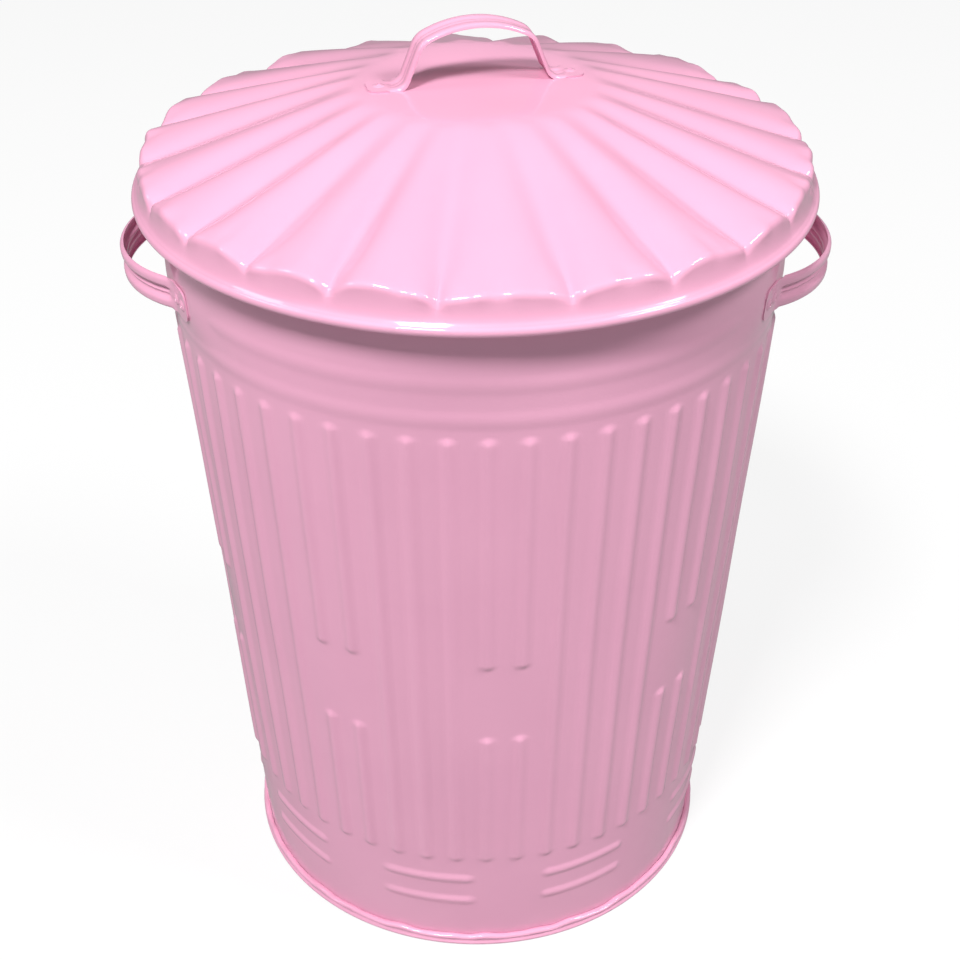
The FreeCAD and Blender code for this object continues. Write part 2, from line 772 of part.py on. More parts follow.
def make_side_handle(rivet_holes):
    """Bow on the +X side: grip arc, root bend and a foot that lies along the hoops.

    Its own origin is midway between the feet, so that it leans with the wall about them.
    """
    body = new_body("side_handle_strap")
    path = new_sketch(body, "grip_path", "XY_Plane")
    apex_x = foot_radius + s.grip_reach - handle_pivot
    grip_x = apex_x - s.grip_radius
    # First guess of the path: the bend's circle touches the foot's and the grip's from outside
    axis = Vector(-handle_pivot.value, 0, 0)
    grip_centre = Vector(grip_x.value, 0, 0)
    to_bend = foot_radius.value + s.root_bend.value
    grip_to_bend = s.grip_radius.value + s.root_bend.value
    span = grip_centre.x - axis.x
    along = (to_bend ** 2 - grip_to_bend ** 2 + span ** 2) / (2 * span)
    bend_centre = axis + Vector(along, -math.sqrt(to_bend ** 2 - along ** 2), 0)
    grip_end = grip_centre + (bend_centre - grip_centre) * (s.grip_radius.value / grip_to_bend)
    foot_start = axis + (bend_centre - axis) * (foot_radius.value / to_bend)
    tip_y = -s.foot_span.value / 2
    tip = axis + Vector(math.sqrt(foot_radius.value ** 2 - tip_y ** 2), tip_y, 0)
    apex = Vector(apex_x.value, 0, 0)
    grip = path.addGeometry(arc_between(apex, grip_end, s.grip_radius.value, -1))
    bend = path.addGeometry(arc_between(grip_end, foot_start, s.root_bend.value, 1))
    foot = path.addGeometry(arc_between(foot_start, tip, foot_radius.value, -1))
    path.addConstraint(Sketcher.Constraint("PointOnObject", grip, 2, -1))
    path.addConstraint(Sketcher.Constraint("PointOnObject", grip, 3, -1))
    path.addConstraint(Sketcher.Constraint("PointOnObject", foot, 3, -1))
    tangent(path, grip, 1, bend, 1)
    tangent(path, bend, 2, foot, 2)
    bind_radius(path, grip, s.grip_radius)
    bind_radius(path, bend, s.root_bend)
    bind_radius(path, foot, foot_radius)
    bind_distance(path, "DistanceX", grip, 2, apex_x)
    bind_distance(path, "DistanceX", foot, 3, -handle_pivot)
    bind_distance(path, "DistanceY", foot, 1, -s.foot_span / 2)
    doc.recompute()
    flat_strip(body, "XZ_Plane", apex_x, path, True)
    press_channel(body, "XZ_Plane", apex_x, s.grip_radius, s.grip_channel, True)
    body.Placement = FreeCAD.Placement(Vector(), FreeCAD.Rotation(ACROSS_Y, handle_lean.value))
    body.setExpression("Placement.Rotation.Angle", handle_lean.text)
    body.setExpression("Placement.Base.x", handle_pivot.text)
    body.setExpression("Placement.Base.z", handle_level.text)
    return cut("side_handle_right", body, group("right_handle_holes", rivet_holes))


# Blind rivets: a hollow rivet with a domed head, and the stub of its mandrel

def rivet_forms(name, grip):
    """One rivet and its mandrel stub, head up, with z = 0 under the head."""
    zero = Size.of(0.0)
    bore = s.rivet_bore / 2
    head = s.rivet_head / 2
    shank = s.rivet_shank / 2
    tail = s.rivet_tail / 2
    seat = -grip - s.mandrel_play
    end = seat - s.rivet_tail_length
    dome = arc_radius(s.rivet_head, s.rivet_head_rise)
    rim = s.rivet_head_rise - dome
    lip = root(dome * dome - bore * bore) + rim
    rivet = new_body(name + "_rivet")
    revolve(rivet, name + "_rivet_turn", [
        (bore, end),
        (tail, end),
        (tail, seat),
        (shank, seat),
        (shank, zero),
        (head, zero, dome, 1),
        (bore, lip),
    ])
    pin = bore - s.mandrel_play
    knob = s.mandrel_head / 2
    stub = new_body(name + "_mandrel")
    stop = end - s.mandrel_play
    revolve(stub, name + "_mandrel_turn", [
        (zero, stop - s.mandrel_head / 2),
        (knob, stop - s.mandrel_head / 4),
        (knob, stop),
        (pin, stop),
        (pin, zero - s.mandrel_depth),
        (zero, zero - s.mandrel_depth),
    ])
    return rivet, stub


def hole_form(grip):
    """The hole through strap and sheet for one rivet, longer than the grip at both ends."""
    spare = s.rivet_head_rise.value
    return Part.makeCylinder(rivet_hole.value, grip.value + 2 * spare, Vector(0, 0, -grip.value - spare))


def side_rivet_places():
    """Where the two rivets of the right handle's front foot sit."""
    lean = FreeCAD.Placement(
        Vector(handle_pivot.value, 0, handle_level.value),
        FreeCAD.Rotation(ACROSS_Y, handle_lean.value))
    face_radius = foot_radius.value + s.strap_sheet.value / 2
    tip = math.asin(s.foot_span.value / 2 / foot_radius.value)
    places = []
    for step in range(RIVETS_PER_FOOT):
        back = (s.rivet_edge.value + s.rivet_pitch.value * step) / foot_radius.value
        out = Vector(math.cos(back - tip), math.sin(back - tip), 0)
        seat = out * face_radius - Vector(handle_pivot.value, 0, 0)
        places.append(lean.multiply(FreeCAD.Placement(seat, FreeCAD.Rotation(UPRIGHT, out))))
    return places


def lid_rivet_places(side):
    """Where the rivet of the right (+1) or left (-1) pad sits, before the lid is turned."""
    middle = (s.pad_start.value + s.pad_end.value) / 2
    seat = Vector(middle * side, 0, crown_height.value + s.strap_sheet.value)
    return [FreeCAD.Placement(seat, FreeCAD.Rotation())]


def placed(label, shape, places):
    """Copies of one shape at several places, as one object of separate solids."""
    copies = []
    for place in places:
        copy = shape.copy()
        copy.Placement = place.multiply(copy.Placement)
        copies.append(copy)
    return feature_of(label, copies)


side_rivet, side_mandrel = rivet_forms("side", side_grip)
lid_rivet, lid_mandrel = rivet_forms("lid", lid_grip)
doc.recompute()

right_front_holes = placed("right_front_holes", hole_form(side_grip), side_rivet_places())
right_rear_holes = mirror("right_rear_holes", right_front_holes, ACROSS_Y)
left_front_holes = mirror("left_front_holes", right_front_holes, ACROSS_X)
left_rear_holes = mirror("left_rear_holes", right_rear_holes, ACROSS_X)
right_pad_hole = placed("right_pad_hole", hole_form(lid_grip), lid_rivet_places(1))
left_pad_hole = placed("left_pad_hole", hole_form(lid_grip), lid_rivet_places(-1))

body_shell = make_body_shell([right_front_holes, right_rear_holes, left_front_holes, left_rear_holes])
body_rim_wire = ring("body_rim_wire", rim_radius, s.rim_wire / 2, rim_level)
base_pan = make_base_pan()
lid_shell = make_lid_shell([right_pad_hole, left_pad_hole])
lid_rim_wire = ring("lid_rim_wire", lid_bead_radius, s.lid_wire / 2, lid_bead_level)
lid_handle = make_lid_handle([right_pad_hole, left_pad_hole])
side_handle_right = make_side_handle([right_front_holes, right_rear_holes])
side_handle_left = mirror("side_handle_left", side_handle_right, ACROSS_X)

nodes = [
    body_shell, body_rim_wire, base_pan, lid_shell, lid_rim_wire, lid_handle,
    side_handle_right, side_handle_left,
]
for kind, side_piece, lid_piece in (
        ("rivet", side_rivet, lid_rivet), ("mandrel", side_mandrel, lid_mandrel)):
    right_front = placed("right_front_%ss" % kind, side_piece.Shape, side_rivet_places())
    right_rear = mirror("right_rear_%ss" % kind, right_front, ACROSS_Y)
    left_front = mirror("left_front_%ss" % kind, right_front, ACROSS_X)
    left_rear = mirror("left_rear_%ss" % kind, right_rear, ACROSS_X)
    lid_right = placed("lid_handle_%s_right" % kind, lid_piece.Shape, lid_rivet_places(1))
    lid_left = placed("lid_handle_%s_left" % kind, lid_piece.Shape, lid_rivet_places(-1))
    for item in (lid_right, lid_left):
        turn_with_lid(item)
    nodes += [right_front, right_rear, left_front, left_rear, lid_right, lid_left]
for item in (lid_shell, lid_handle):
    turn_with_lid(item)
doc.recompute()

# Every object has to be sound before anything is written
for item in doc.Objects:
    if "Invalid" in item.State or "Error" in item.State:
        raise RuntimeError("%s did not build" % item.Label)
for node in nodes:
    if node.Shape.isNull() or not node.Shape.isValid():
        raise RuntimeError("%s has no sound shape" % node.Label)

os.makedirs("parts", exist_ok=True)
for node in nodes:
    node.Shape.exportStep("parts/%s.step" % node.Label)
    print(node.Label, len(node.Shape.Solids), round(node.Shape.Volume, 1))
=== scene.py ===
import math

import bmesh
import bpy
import numpy as np
from bpy.props import FloatProperty, FloatVectorProperty, PointerProperty
from mathutils import Matrix, Vector


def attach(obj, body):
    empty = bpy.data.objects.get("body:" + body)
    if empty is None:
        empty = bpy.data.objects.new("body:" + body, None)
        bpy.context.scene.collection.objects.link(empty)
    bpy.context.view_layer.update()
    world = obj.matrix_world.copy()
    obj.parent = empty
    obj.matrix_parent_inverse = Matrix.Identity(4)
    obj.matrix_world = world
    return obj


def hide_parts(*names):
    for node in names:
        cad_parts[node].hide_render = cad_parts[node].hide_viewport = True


bl_info = {
    "name": "Steel dustbin",
    "version": (1, 0, 0),
    "blender": (4, 5, 0),
    "location": "View3D > Sidebar > Dustbin",
    "description": "Dresses the frame of a pressed-steel dustbin with a fluted lid",
    "category": "Add Mesh",
}

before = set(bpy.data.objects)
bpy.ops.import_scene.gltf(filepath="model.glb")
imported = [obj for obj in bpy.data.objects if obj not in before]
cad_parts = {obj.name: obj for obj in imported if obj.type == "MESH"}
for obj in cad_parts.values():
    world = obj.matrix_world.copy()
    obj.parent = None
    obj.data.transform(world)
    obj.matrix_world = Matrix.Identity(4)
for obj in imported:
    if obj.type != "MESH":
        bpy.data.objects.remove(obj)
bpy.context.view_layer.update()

# All lengths are in metres and all angles round the bin are counted from the front, positive to the right
FULL_TURN = 2.0 * math.pi

# A pair of broken ribs starts each group of ribs, and each step is the number of ribs in one group
GROUP_STEPS = (6, 6, 6, 5, 6, 6, 6, 6, 5)
FIRST_GROUP_RIB = -23
BROKEN_RIBS = 2
RIB_COUNT = sum(GROUP_STEPS)
BEAD_ROWS = 2
SWAGE_COUNT = 2
# Strength, count round the wall, run with height and start of each slow wave in the wall's sheet
STRAY_WAVES = ((1.0, 3, 9, 0.7), (0.7, 7, -14, 0.0), (0.5, 13, 31, 1.9))
# Distances from the rim and from the floor over which these waves come in
RIM_CALM = (0.012, 0.030)
FOOT_CALM = (0.012, 0.060)
# Multiples of a foot's half angle between which the seat under it fades out
SEAT_FADE = (0.8, 2.2)
# How far the wall's close levels reach over a bead, over a rib's end and past it
BEAD_REACH = 0.0074
RIB_END = 0.009
LEVEL_SLACK = 0.001

# Radii of the points along the pan's underside, from the middle, and back along its upper side
UNDERSIDE_STATIONS = (0.0, 0.06, 0.12, 0.165)
UPPER_STATIONS = (0.165, 0.1, 0.0)
# Degrees that each of the fold's two beads sweeps
FOLD_SWEEP = 145.0

# Degrees at which the lid's hand-pressed valleys lie across its front, from left to right
FRONT_VALLEYS = (-100.0, -84.0, -66.5, -51.5, -37.0, -22.0, -5.5, 14.5, 31.0, 46.5, 61.0, 78.0, 94.2)
FLUTE_COUNT = 22
# Degrees at which a short pucker shows on the shoulder between two valleys
PUCKERS = (-92.0, -43.5, -29.5, -13.5, 3.5, 9.5, 23.0, 39.5, 53.5, 69.5)
# Distances in from the lid's skirt over which valleys run out, pinches come in and the edge wanders
RUN_OUT_BAND = (0.036, 0.006)
PINCH_BAND = (0.034, 0.004)
WANDER_BAND = (0.014, 0.003)
# Heights over the skirt's foot over which the pinches come in
PINCH_LEVELS = (0.003, 0.011)
# Radii over which the crown's dents come in
CROWN_DENT_BAND = (0.03, 0.08)
# Share of a valley's depth that is filled where it runs out
VALLEY_FILL = 0.55
# How much further a pinch goes inwards than down
PINCH_INWARD = 1.25
# Radii of the points along the lid's outline, close together at the crown's bend and the shoulder
CROWN_STATIONS = (0.0, 0.025, 0.05, 0.068, 0.077, 0.081, 0.084, 0.087, 0.091, 0.097, 0.105)
CONE_STATIONS = tuple(0.001 * (115.0 + 10.0 * step) for step in range(11))
EDGE_STATIONS = (0.222, 0.2265, 0.2295)
SKIRT_STEPS = 6
# Share of the cone's fall at which the shoulder's bend starts
SHOULDER_EASE = 0.85
# Degrees that the cove sweeps, and where the rolled edge starts and how far it curls
COVE_SWEEP = 62.0
ROLL_START = 70.0
ROLL_SWEEP = -250.0

# Columns of the spun meshes, and how strongly they crowd towards the ribs and into the valleys
COLUMNS_PER_RIB = 10
COLUMNS_PER_FLUTE = 26
PAN_COLUMNS = 288
RIVET_COLUMNS = 36
RIB_CROWDING = 0.34
VALLEY_CROWDING = 0.72
# A difference too small to matter between two columns
TINY = 1e-6

SIDES = (("right", 1), ("left", -1))
ENDS = (("front", -1), ("rear", 1))
RIVETS_PER_FOOT = 2
STRAP_STEPS_ALONG = 150
STRAP_STEPS_ACROSS = 28
# Distances past the pressing's end over which it fades out
PRESS_FADE = (-0.003, 0.004)
# Share of its width that a strap loses at its round ends
END_NARROWING = 0.5
# Degrees between faces from which an edge is shaded as sharp
STRAP_SHARP = 50.0
RIVET_SHARP = 40.0

# Name, width and height, and place of each lamp, all facing one spot
LAMPS = (
    ("key", (1.0, 1.0), (-1.21, -2.99, 4.71)),
    ("right", (1.6, 1.2), (3.59, -1.31, 4.58)),
    ("left", (1.6, 1.2), (-3.76, -0.66, 3.82)),
)
LAMP_TARGET = (0.0, 0.0, 0.50)
# Where the camera stands, where it looks and by how many degrees it is rolled
CAMERA_PLACE = (0.0029, -1.1186, 1.0641)
CAMERA_AIM = (0.0, 0.83594, -0.54884)
CAMERA_ROLL = -0.09
FILM_WIDTH = 36.0
WHITE = (1.0, 1.0, 1.0, 1.0)


def length(name, description, default):
    return FloatProperty(name=name, description=description, default=default, min=0.0, unit="LENGTH")


def angle(name, description, degrees):
    return FloatProperty(name=name, description=description, default=math.radians(degrees), subtype="ANGLE")


def share(name, description, default):
    return FloatProperty(
        name=name, description=description, default=default, min=0.0, max=1.0, subtype="FACTOR")


def amount(name, description, default):
    return FloatProperty(name=name, description=description, default=default, min=0.0)


def power(name, description, default):
    return FloatProperty(name=name, description=description, default=default, min=0.0, unit="POWER")


def colour(name, description, default):
    return FloatVectorProperty(
        name=name, description=description, default=default, size=3, min=0.0, max=1.0, subtype="COLOR")


# Sizes and colours that a user would change

class WallSizes(bpy.types.PropertyGroup):
    """Sizes of the ribbed wall"""

    base_radius: length("Base radius", "Outer radius that the plain wall would have at the floor", 0.1894)
    taper: amount("Taper", "How fast the radius grows with height", 0.0642)
    height: length("Height", "Height of the rim above the floor", 0.612)
    sheet: length("Sheet", "Thickness of the wall's sheet", 0.0007)
    rim_tube: length("Rim roll", "Radius of the roll round the rim", 0.0029)
    rim_start: length("Rim start", "How far under the rim the plain wall ends", 0.007)
    foot_level: length("Foot level", "Height of the wall's outer edge inside the pan's fold", 0.0064)
    inner_foot: length("Inner foot", "Height at which the wall's inside ends at the pan", 0.0148)
    seat_height: length("Seat height", "Height of a seat at the wall", 0.060)
    seat_rise: length("Seat rise", "How far a seat stands out of the wall", 0.0022)
    foot_place: angle("Foot place", "Angle from a handle's middle to the middle of its foot", 23.5)
    foot_half: angle("Foot half", "Half the angle that a handle's foot takes", 7.8)
    swage_level: length("Swage level", "Height of the lower of the two swages", 0.5195)
    swage_pitch: length("Swage pitch", "Height between the swages", 0.027)
    swage_width: length("Swage width", "Width of a swage at the wall", 0.017)
    swage_rise: length("Swage rise", "How far a swage stands out of the wall", 0.0006)
    rib_phase: angle("Rib phase", "Where the first rib lies", 2.2)
    rib_width: length("Rib width", "Width of a rib at the wall", 0.0135)
    rib_rise: length("Rib rise", "How far a rib stands out of the wall", 0.0022)
    rib_bottom: length("Rib bottom", "Height of the ribs' lower ends", 0.0965)
    rib_top: length("Rib top", "Height of the ribs' upper ends", 0.507)
    break_bottom: length("Break bottom", "Height at which a broken rib stops", 0.237)
    break_top: length("Break top", "Height at which a broken rib starts again", 0.302)
    bead_level: length("Bead level", "Height of the lower row of beads", 0.051)
    bead_pitch: length("Bead pitch", "Height between the rows of beads", 0.0256)
    bead_height: length("Bead height", "Height of one bead", 0.0122)
    bead_rise: length("Bead rise", "How far a bead stands out of the wall", 0.0015)
    bead_span: angle("Bead span", "Angle that one bead takes round the wall", 23.0)
    wobble: length("Wobble", "How far the sheet strays from its true form", 0.0004)


class PanSizes(bpy.types.PropertyGroup):
    """Sizes of the bottom pan and of the fold round its edge"""

    sheet: length("Sheet", "Thickness of the pan's sheet", 0.0008)
    recess: length("Recess", "Height of the bottom above the floor", 0.016)
    fold_reach: length("Fold reach", "How far the fold stands out of the wall", 0.0054)
    fold_height: length("Fold height", "Height of the fold", 0.0092)
    fold_round: length("Fold rounding", "Radius of the fold's two beads", 0.0021)
    bead_step: length("Bead step", "How far the fold's upper bead lies behind the lower", 0.0004)
    lip_round: length("Lip rounding", "Width of the bevel at the fold's lip", 0.0012)
    lip_play: length("Lip play", "Play between the fold's lip and the wall", 0.0002)
    play: length("Play", "Play between the pan's side and the wall", 0.00015)
    grip_level: length("Grip level", "Height at which that play is measured", 0.005)
    corner: length("Corner", "Radius of the bend from the bottom to the side", 0.0022)
    flat_end: length("Flat end", "How far before the side the flat bottom ends", 0.004)
    foot_bend: length("Foot bend", "Radius of the bend from the side to the fold", 0.0016)
    wrinkle: length("Wrinkle", "How far the fold's edge wanders up and down", 0.0006)
    wrinkle_start: length("Wrinkle start", "Height at which the fold starts to wander", 0.002)
    dent: length("Dent", "How far the fold is dented in and out", 0.00028)
    dent_inset: length("Dent inset", "How far inside the fold's edge the dents are full", 0.001)
    dish: length("Dish", "How far the bottom is dished", 0.0012)
    dish_radius: length("Dish radius", "Radius of the dish", 0.16)
    flat_radius: length("Flat radius", "Radius up to which the bottom moves with the dish", 0.17)


class LidSizes(bpy.types.PropertyGroup):
    """Sizes of the fluted lid"""

    sheet: length("Sheet", "Thickness of the lid's sheet", 0.0007)
    wall_radius: length("Skirt radius", "Outer radius of the skirt", 0.2389)
    valley_level: length("Valley level", "Height of a valley where it meets the skirt", 0.61035)
    slope: amount("Slope", "Fall of the valleys over their run", 0.352)
    crown_radius: length("Crown radius", "Radius of the flat crown", 0.084)
    notch: length("Notch", "Depth of a valley between its two flanks at the skirt", 0.0058)
    dome: length("Dome", "Height of a ridge's back over its flanks at the skirt", 0.0031)
    shoulder: length("Shoulder", "Radius of the shoulder's bend", 0.0056)
    crown_bend: length("Crown bend", "How far the bend round the crown spreads", 0.007)
    valley_width: length("Valley width", "Half width of a valley at the crown", 0.0108)
    valley_narrowing: length("Valley narrowing", "How much narrower a valley is at the skirt", 0.0016)
    pinch: length("Pinch", "How deep the pinched end of a valley is", 0.0016)
    pinch_width: length("Pinch width", "Half width of the pinched end of a valley", 0.0040)
    pucker_width: length("Pucker width", "Half width of a pucker", 0.0036)
    wander: length("Wander", "How far the shoulder's edge wanders", 0.00032)
    crown_dent: length("Crown dent", "How far the crown strays from flat", 0.0005)
    skirt_foot: length("Skirt foot", "Height over the rolled edge at which the skirt is plain", 0.004)
    skirt_slack: length("Skirt slack", "How far in from the skirt a point still counts as on it", 0.002)
    cove: length("Cove", "Radius of the cove between the skirt and the rolled edge", 0.0072)
    cove_level: length("Cove level", "Height of the cove's upper end over the rolled edge", 0.0100)
    roll_radius: length("Roll place", "Radius of the rolled edge's centre line", 0.2417)
    roll_level: length("Roll level", "Height of the rolled edge's centre line", 0.5945)
    roll_tube: length("Roll", "Radius of the rolled edge itself", 0.0035)
    turn: angle("Turn", "How far the handle is turned from the front", 13.0)


class StrapSizes(bpy.types.PropertyGroup):
    """Sizes of the strap that the handles are bent from"""

    width: length("Width", "Width of the strap", 0.024)
    sheet: length("Sheet", "Thickness of the strap", 0.0012)
    edge: length("Edge roll", "Radius of the strap's rolled edges", 0.0030)
    end_round: length("End rounding", "Length over which the strap's ends are rounded", 0.008)
    groove_width: length("Groove width", "Width of the pressed groove", 0.0125)
    groove_depth: length("Groove depth", "Depth of the pressed groove", 0.0040)
    groove_ridge: length("Groove ridge", "Height of the ridge along the groove's bottom", 0.0020)
    ridge_width: length("Ridge width", "Half width of that ridge", 0.0016)
    lid_groove: share("Lid groove", "Depth of the lid handle's groove as a share of the others'", 0.35)
    arch_rise: length("Arch rise", "Height of the lid handle's bow over its pads", 0.042)
    arch_radius: length("Arch radius", "Radius of the lid handle's bow", 0.080)
    arch_corner: length("Arch corner", "Radius of the bends where the bow turns into its legs", 0.016)
    leg_lean: angle("Leg lean", "Lean of the lid handle's legs from level", 68.0)
    heel_bend: length("Heel bend", "Radius of the bend at the lid handle's pads", 0.010)
    pad_start: length("Pad start", "Distance from the middle to a pad", 0.060)
    pad_end: length("Pad end", "Distance from the middle to the strap's end", 0.077)
    lid_press_end: length("Lid press end", "How far from the lid handle's ends its pressing stops", 0.016)
    grip_press_end: length("Grip press end", "How far before a side bow's end its pressing stops", 0.002)
    grip_radius: length("Grip radius", "Radius of a side handle's bow", 0.103)
    grip_reach: length("Grip reach", "How far a side handle stands out of its feet", 0.033)
    root_bend: length("Root bend", "Radius of the bend at a side handle's feet", 0.012)
    foot_span: length("Foot span", "Distance between the ends of a side handle's feet", 0.224)
    foot_radius: length("Foot radius", "Distance of a foot's middle plane from the bin's axis", 0.22699)
    handle_level: length("Handle level", "Height of the side handles", 0.5426)
    handle_pivot: length("Handle pivot", "Distance of the rivets' plane from the bin's axis", 0.20426)
    lean: angle("Lean", "Lean of a side handle with the wall", 4.08)


class RivetSizes(bpy.types.PropertyGroup):
    """Sizes of the blind rivets"""

    head: length("Head", "Diameter of the head", 0.009)
    head_rise: length("Head rise", "Height of a domed head on the wall", 0.0015)
    lid_head_rise: length("Lid head rise", "Height of a domed head on the lid", 0.0009)
    bore: length("Bore", "Diameter of the open bore", 0.0028)
    shank: length("Shank", "Diameter of the shank", 0.0048)
    tail: length("Tail", "Diameter of the spread tail", 0.0066)
    tail_length: length("Tail length", "Length of the spread tail", 0.003)
    side_grip: length("Side grip", "Thickness that a side handle's rivet holds", 0.0041)
    lid_grip: length("Lid grip", "Thickness that a lid handle's rivet holds", 0.00195)
    pitch: length("Pitch", "Distance between the two rivets of a foot", 0.012)
    edge: length("Edge", "Distance of the outer rivet from the strap's end", 0.007)
    lip: length("Lip", "Width of the edge round the head and round the bore", 0.0003)
    bevel: length("Bevel", "Width of the bevel on the tail's end and in the bore's mouth", 0.0006)
    bevel_height: length("Bevel height", "Height of the bevel on the tail's end", 0.0008)
    neck: length("Neck", "Height over which the tail narrows to the shank", 0.0004)
    bore_row: length("Bore row", "Depth of a row of points that keeps the bore's faces short", 0.001)


class FinishColours(bpy.types.PropertyGroup):
    """Colours and gloss of the finishes"""

    coat: colour("Coat", "Pink of the powder coat", (0.80, 0.390, 0.548))
    coat_deep: colour("Deep coat", "Pink where the coat lies thicker", (0.765, 0.360, 0.520))
    roughness: share("Roughness", "Roughness under the coat's clear skin", 0.42)
    gloss: share("Gloss", "Strength of the clear skin", 0.70)
    skin_roughness: share("Skin roughness", "Roughness of the clear skin itself", 0.065)
    sheen: share("Sheen", "Strength of the sheen under the clear skin", 0.15)
    peel: length("Peel", "Depth of the coat's orange peel", 0.0004)
    steel: colour("Steel", "Grey of the bare steel", (0.42, 0.41, 0.41))


class StageLooks(bpy.types.PropertyGroup):
    """Floor, light and camera"""

    floor: colour("Floor", "Colour of the floor as the object sees it", (0.40, 0.40, 0.40))
    floor_seen: colour("Seen floor", "Colour of the floor as the camera sees it", (0.86, 0.86, 0.86))
    floor_half: length("Floor half", "Half the width of the floor", 6.0)
    floor_glow: share("Floor glow", "How much of the floor is plain white to the camera", 0.82)
    ambient: amount("Ambient", "Strength of the light from all round", 0.12)
    mirrored: amount("Mirrored", "Brightness of the surroundings in the gloss", 0.20)
    key: power("Key", "Power of the light from the front left", 292.0)
    right: power("Right", "Power of the light from the right", 168.0)
    left: power("Left", "Power of the light from the left", 46.0)
    lens: amount("Lens", "Focal length in millimetres, for the film's width", 61.875)


# Mesh helpers

def outline_edges(bm, points, closed):
    """A chain of edges in the upright plane that faces the front, from distances and heights."""
    verts = [bm.verts.new((0.0, -radius, level)) for radius, level in points]
    pairs = list(zip(verts, verts[1:]))
    if closed:
        pairs.append((verts[-1], verts[0]))
    return verts + [bm.edges.new(pair) for pair in pairs]


def spun(points, steps, closed):
    """A full turn of an outline about the upright axis, with closed poles and outward faces."""
    bm = bmesh.new()
    chain = outline_edges(bm, points, closed)
    bmesh.ops.spin(
        bm, geom=chain, cent=(0, 0, 0), axis=(0, 0, 1), dvec=(0, 0, 0),
        angle=FULL_TURN, steps=steps, use_merge=True, use_duplicate=False)
    bmesh.ops.remove_doubles(bm, verts=bm.verts, dist=1e-7)
    bmesh.ops.recalc_face_normals(bm, faces=bm.faces)
    return bm


def finished(bm, name, sharp_degrees=60.0):
    """Turns a bmesh into a smooth shaded object at the origin."""
    mesh = bpy.data.meshes.new(name)
    bm.to_mesh(mesh)
    bm.free()
    mesh.polygons.foreach_set("use_smooth", np.ones(len(mesh.polygons), bool))
    mesh.set_sharp_from_angle(angle=math.radians(sharp_degrees))
    mesh.update()
    obj = bpy.data.objects.new(name, mesh)
    bpy.context.scene.collection.objects.link(obj)
    return obj


def reshape_round(bm, form):
    """Moves every vertex by a formula of its distance from the axis, angle and height."""
    verts = list(bm.verts)
    places = np.array([vert.co for vert in verts])
    radius = np.hypot(places[:, 0], places[:, 1])
    turn = np.arctan2(places[:, 0], -places[:, 1])
    radius, turn, level = form(radius, turn, places[:, 2])
    moved = np.stack([radius * np.sin(turn), -radius * np.cos(turn), level], axis=1)
    for vert, place in zip(verts, moved):
        vert.co = place


def wear(obj, body, nodes, material):
    """Hangs a finished piece on its body, in place of its CAD nodes, with its finish."""
    obj.data.materials.clear()
    obj.data.materials.append(material)
    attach(obj, body)
    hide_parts(*nodes)


def arc_points(centre, radius, start, sweep, count):
    """Points along an arc, its start included, in degrees from the outward direction."""
    turns = [math.radians(start + sweep * step / count) for step in range(count + 1)]
    return [(centre[0] + radius * math.cos(turn), centre[1] + radius * math.sin(turn)) for turn in turns]


def spaced(stops):
    """Levels from stops of (level, count), where the count is the number of steps to the next stop."""
    levels = []
    for (start, count), (end, unused) in zip(stops, stops[1:]):
        levels += [start + (end - start) * step / count for step in range(count)]
    return levels


def wrapped(turn):
    """An angle brought within half a turn of the front."""
    return (turn + math.pi) % FULL_TURN - math.pi


def swell(distance, half):
    """One on the middle line of a pressed form, easing to nought at its edge."""
    near = np.clip(distance / half, 0.0, 1.0)
    return (1.0 - near * near) ** 2


def smooth_step(value, start, end):
    """Eases from nought at the start to one at the end."""
    near = np.clip((value - start) / (end - start), 0.0, 1.0)
    return near * near * (3.0 - 2.0 * near)


# Materials

# Scale, detail and roughness of the patterns in the finishes
PATCHES = (9.0, 3.0, 0.55)
HAZE = (34.0, 4.0, 0.62)
GRAIN = (150.0, 2.0, 0.5)
FINE_PEEL = (420.0, 2.0, 0.5)
BROAD_PEEL = (130.0, 1.0, 0.5)
STREAKS = (900.0, 3.0, 0.5)


class Value:
    """A shader socket that takes part in sums as a number does."""

    def __init__(self, paint, socket):
        self.paint = paint
        self.socket = socket

    def math(self, operation, first, second):
        return self.paint.node("ShaderNodeMath", "Value", {"operation": operation}, {0: first, 1: second})

    def __add__(self, other):
        return self.math("ADD", self, other)

    def __mul__(self, other):
        return self.math("MULTIPLY", self, other)

    __radd__ = __add__
    __rmul__ = __mul__


class Paint:
    """A material or a world under construction."""

    def __init__(self, owner):
        owner.use_nodes = True
        self.tree = owner.node_tree
        self.tree.nodes.clear()

    def node(self, kind, output, settings, inputs):
        """Adds a node, sets it up, fills its sockets and gives one of its outputs."""
        node = self.tree.nodes.new(kind)
        for name, setting in settings.items():
            setattr(node, name, setting)
        for name, value in inputs.items():
            if isinstance(value, Value):
                self.tree.links.new(value.socket, node.inputs[name])
            else:
                node.inputs[name].default_value = value
        return Value(self, node.outputs[output])

    def noise(self, place, scale, detail, roughness):
        return self.node("ShaderNodeTexNoise", "Fac", {}, {
            "Vector": place, "Scale": scale, "Detail": detail, "Roughness": roughness})

    def mix(self, factor, first, second):
        return self.node("ShaderNodeMix", 2, {"data_type": "RGBA"}, {0: factor, 6: first, 7: second})

    def spread(self, value, low, high):
        """Stretches the range from low to high of a value over nought to one."""
        return self.node("ShaderNodeMapRange", "Result", {"interpolation_type": "SMOOTHSTEP"}, {
            "Value": value, "From Min": low, "From Max": high})

    def finish(self, kind, shader):
        output = self.tree.nodes.new(kind)
        self.tree.links.new(shader.socket, output.inputs["Surface"])


def opaque(values):
    """A colour with full alpha."""
    return (*values, 1.0)


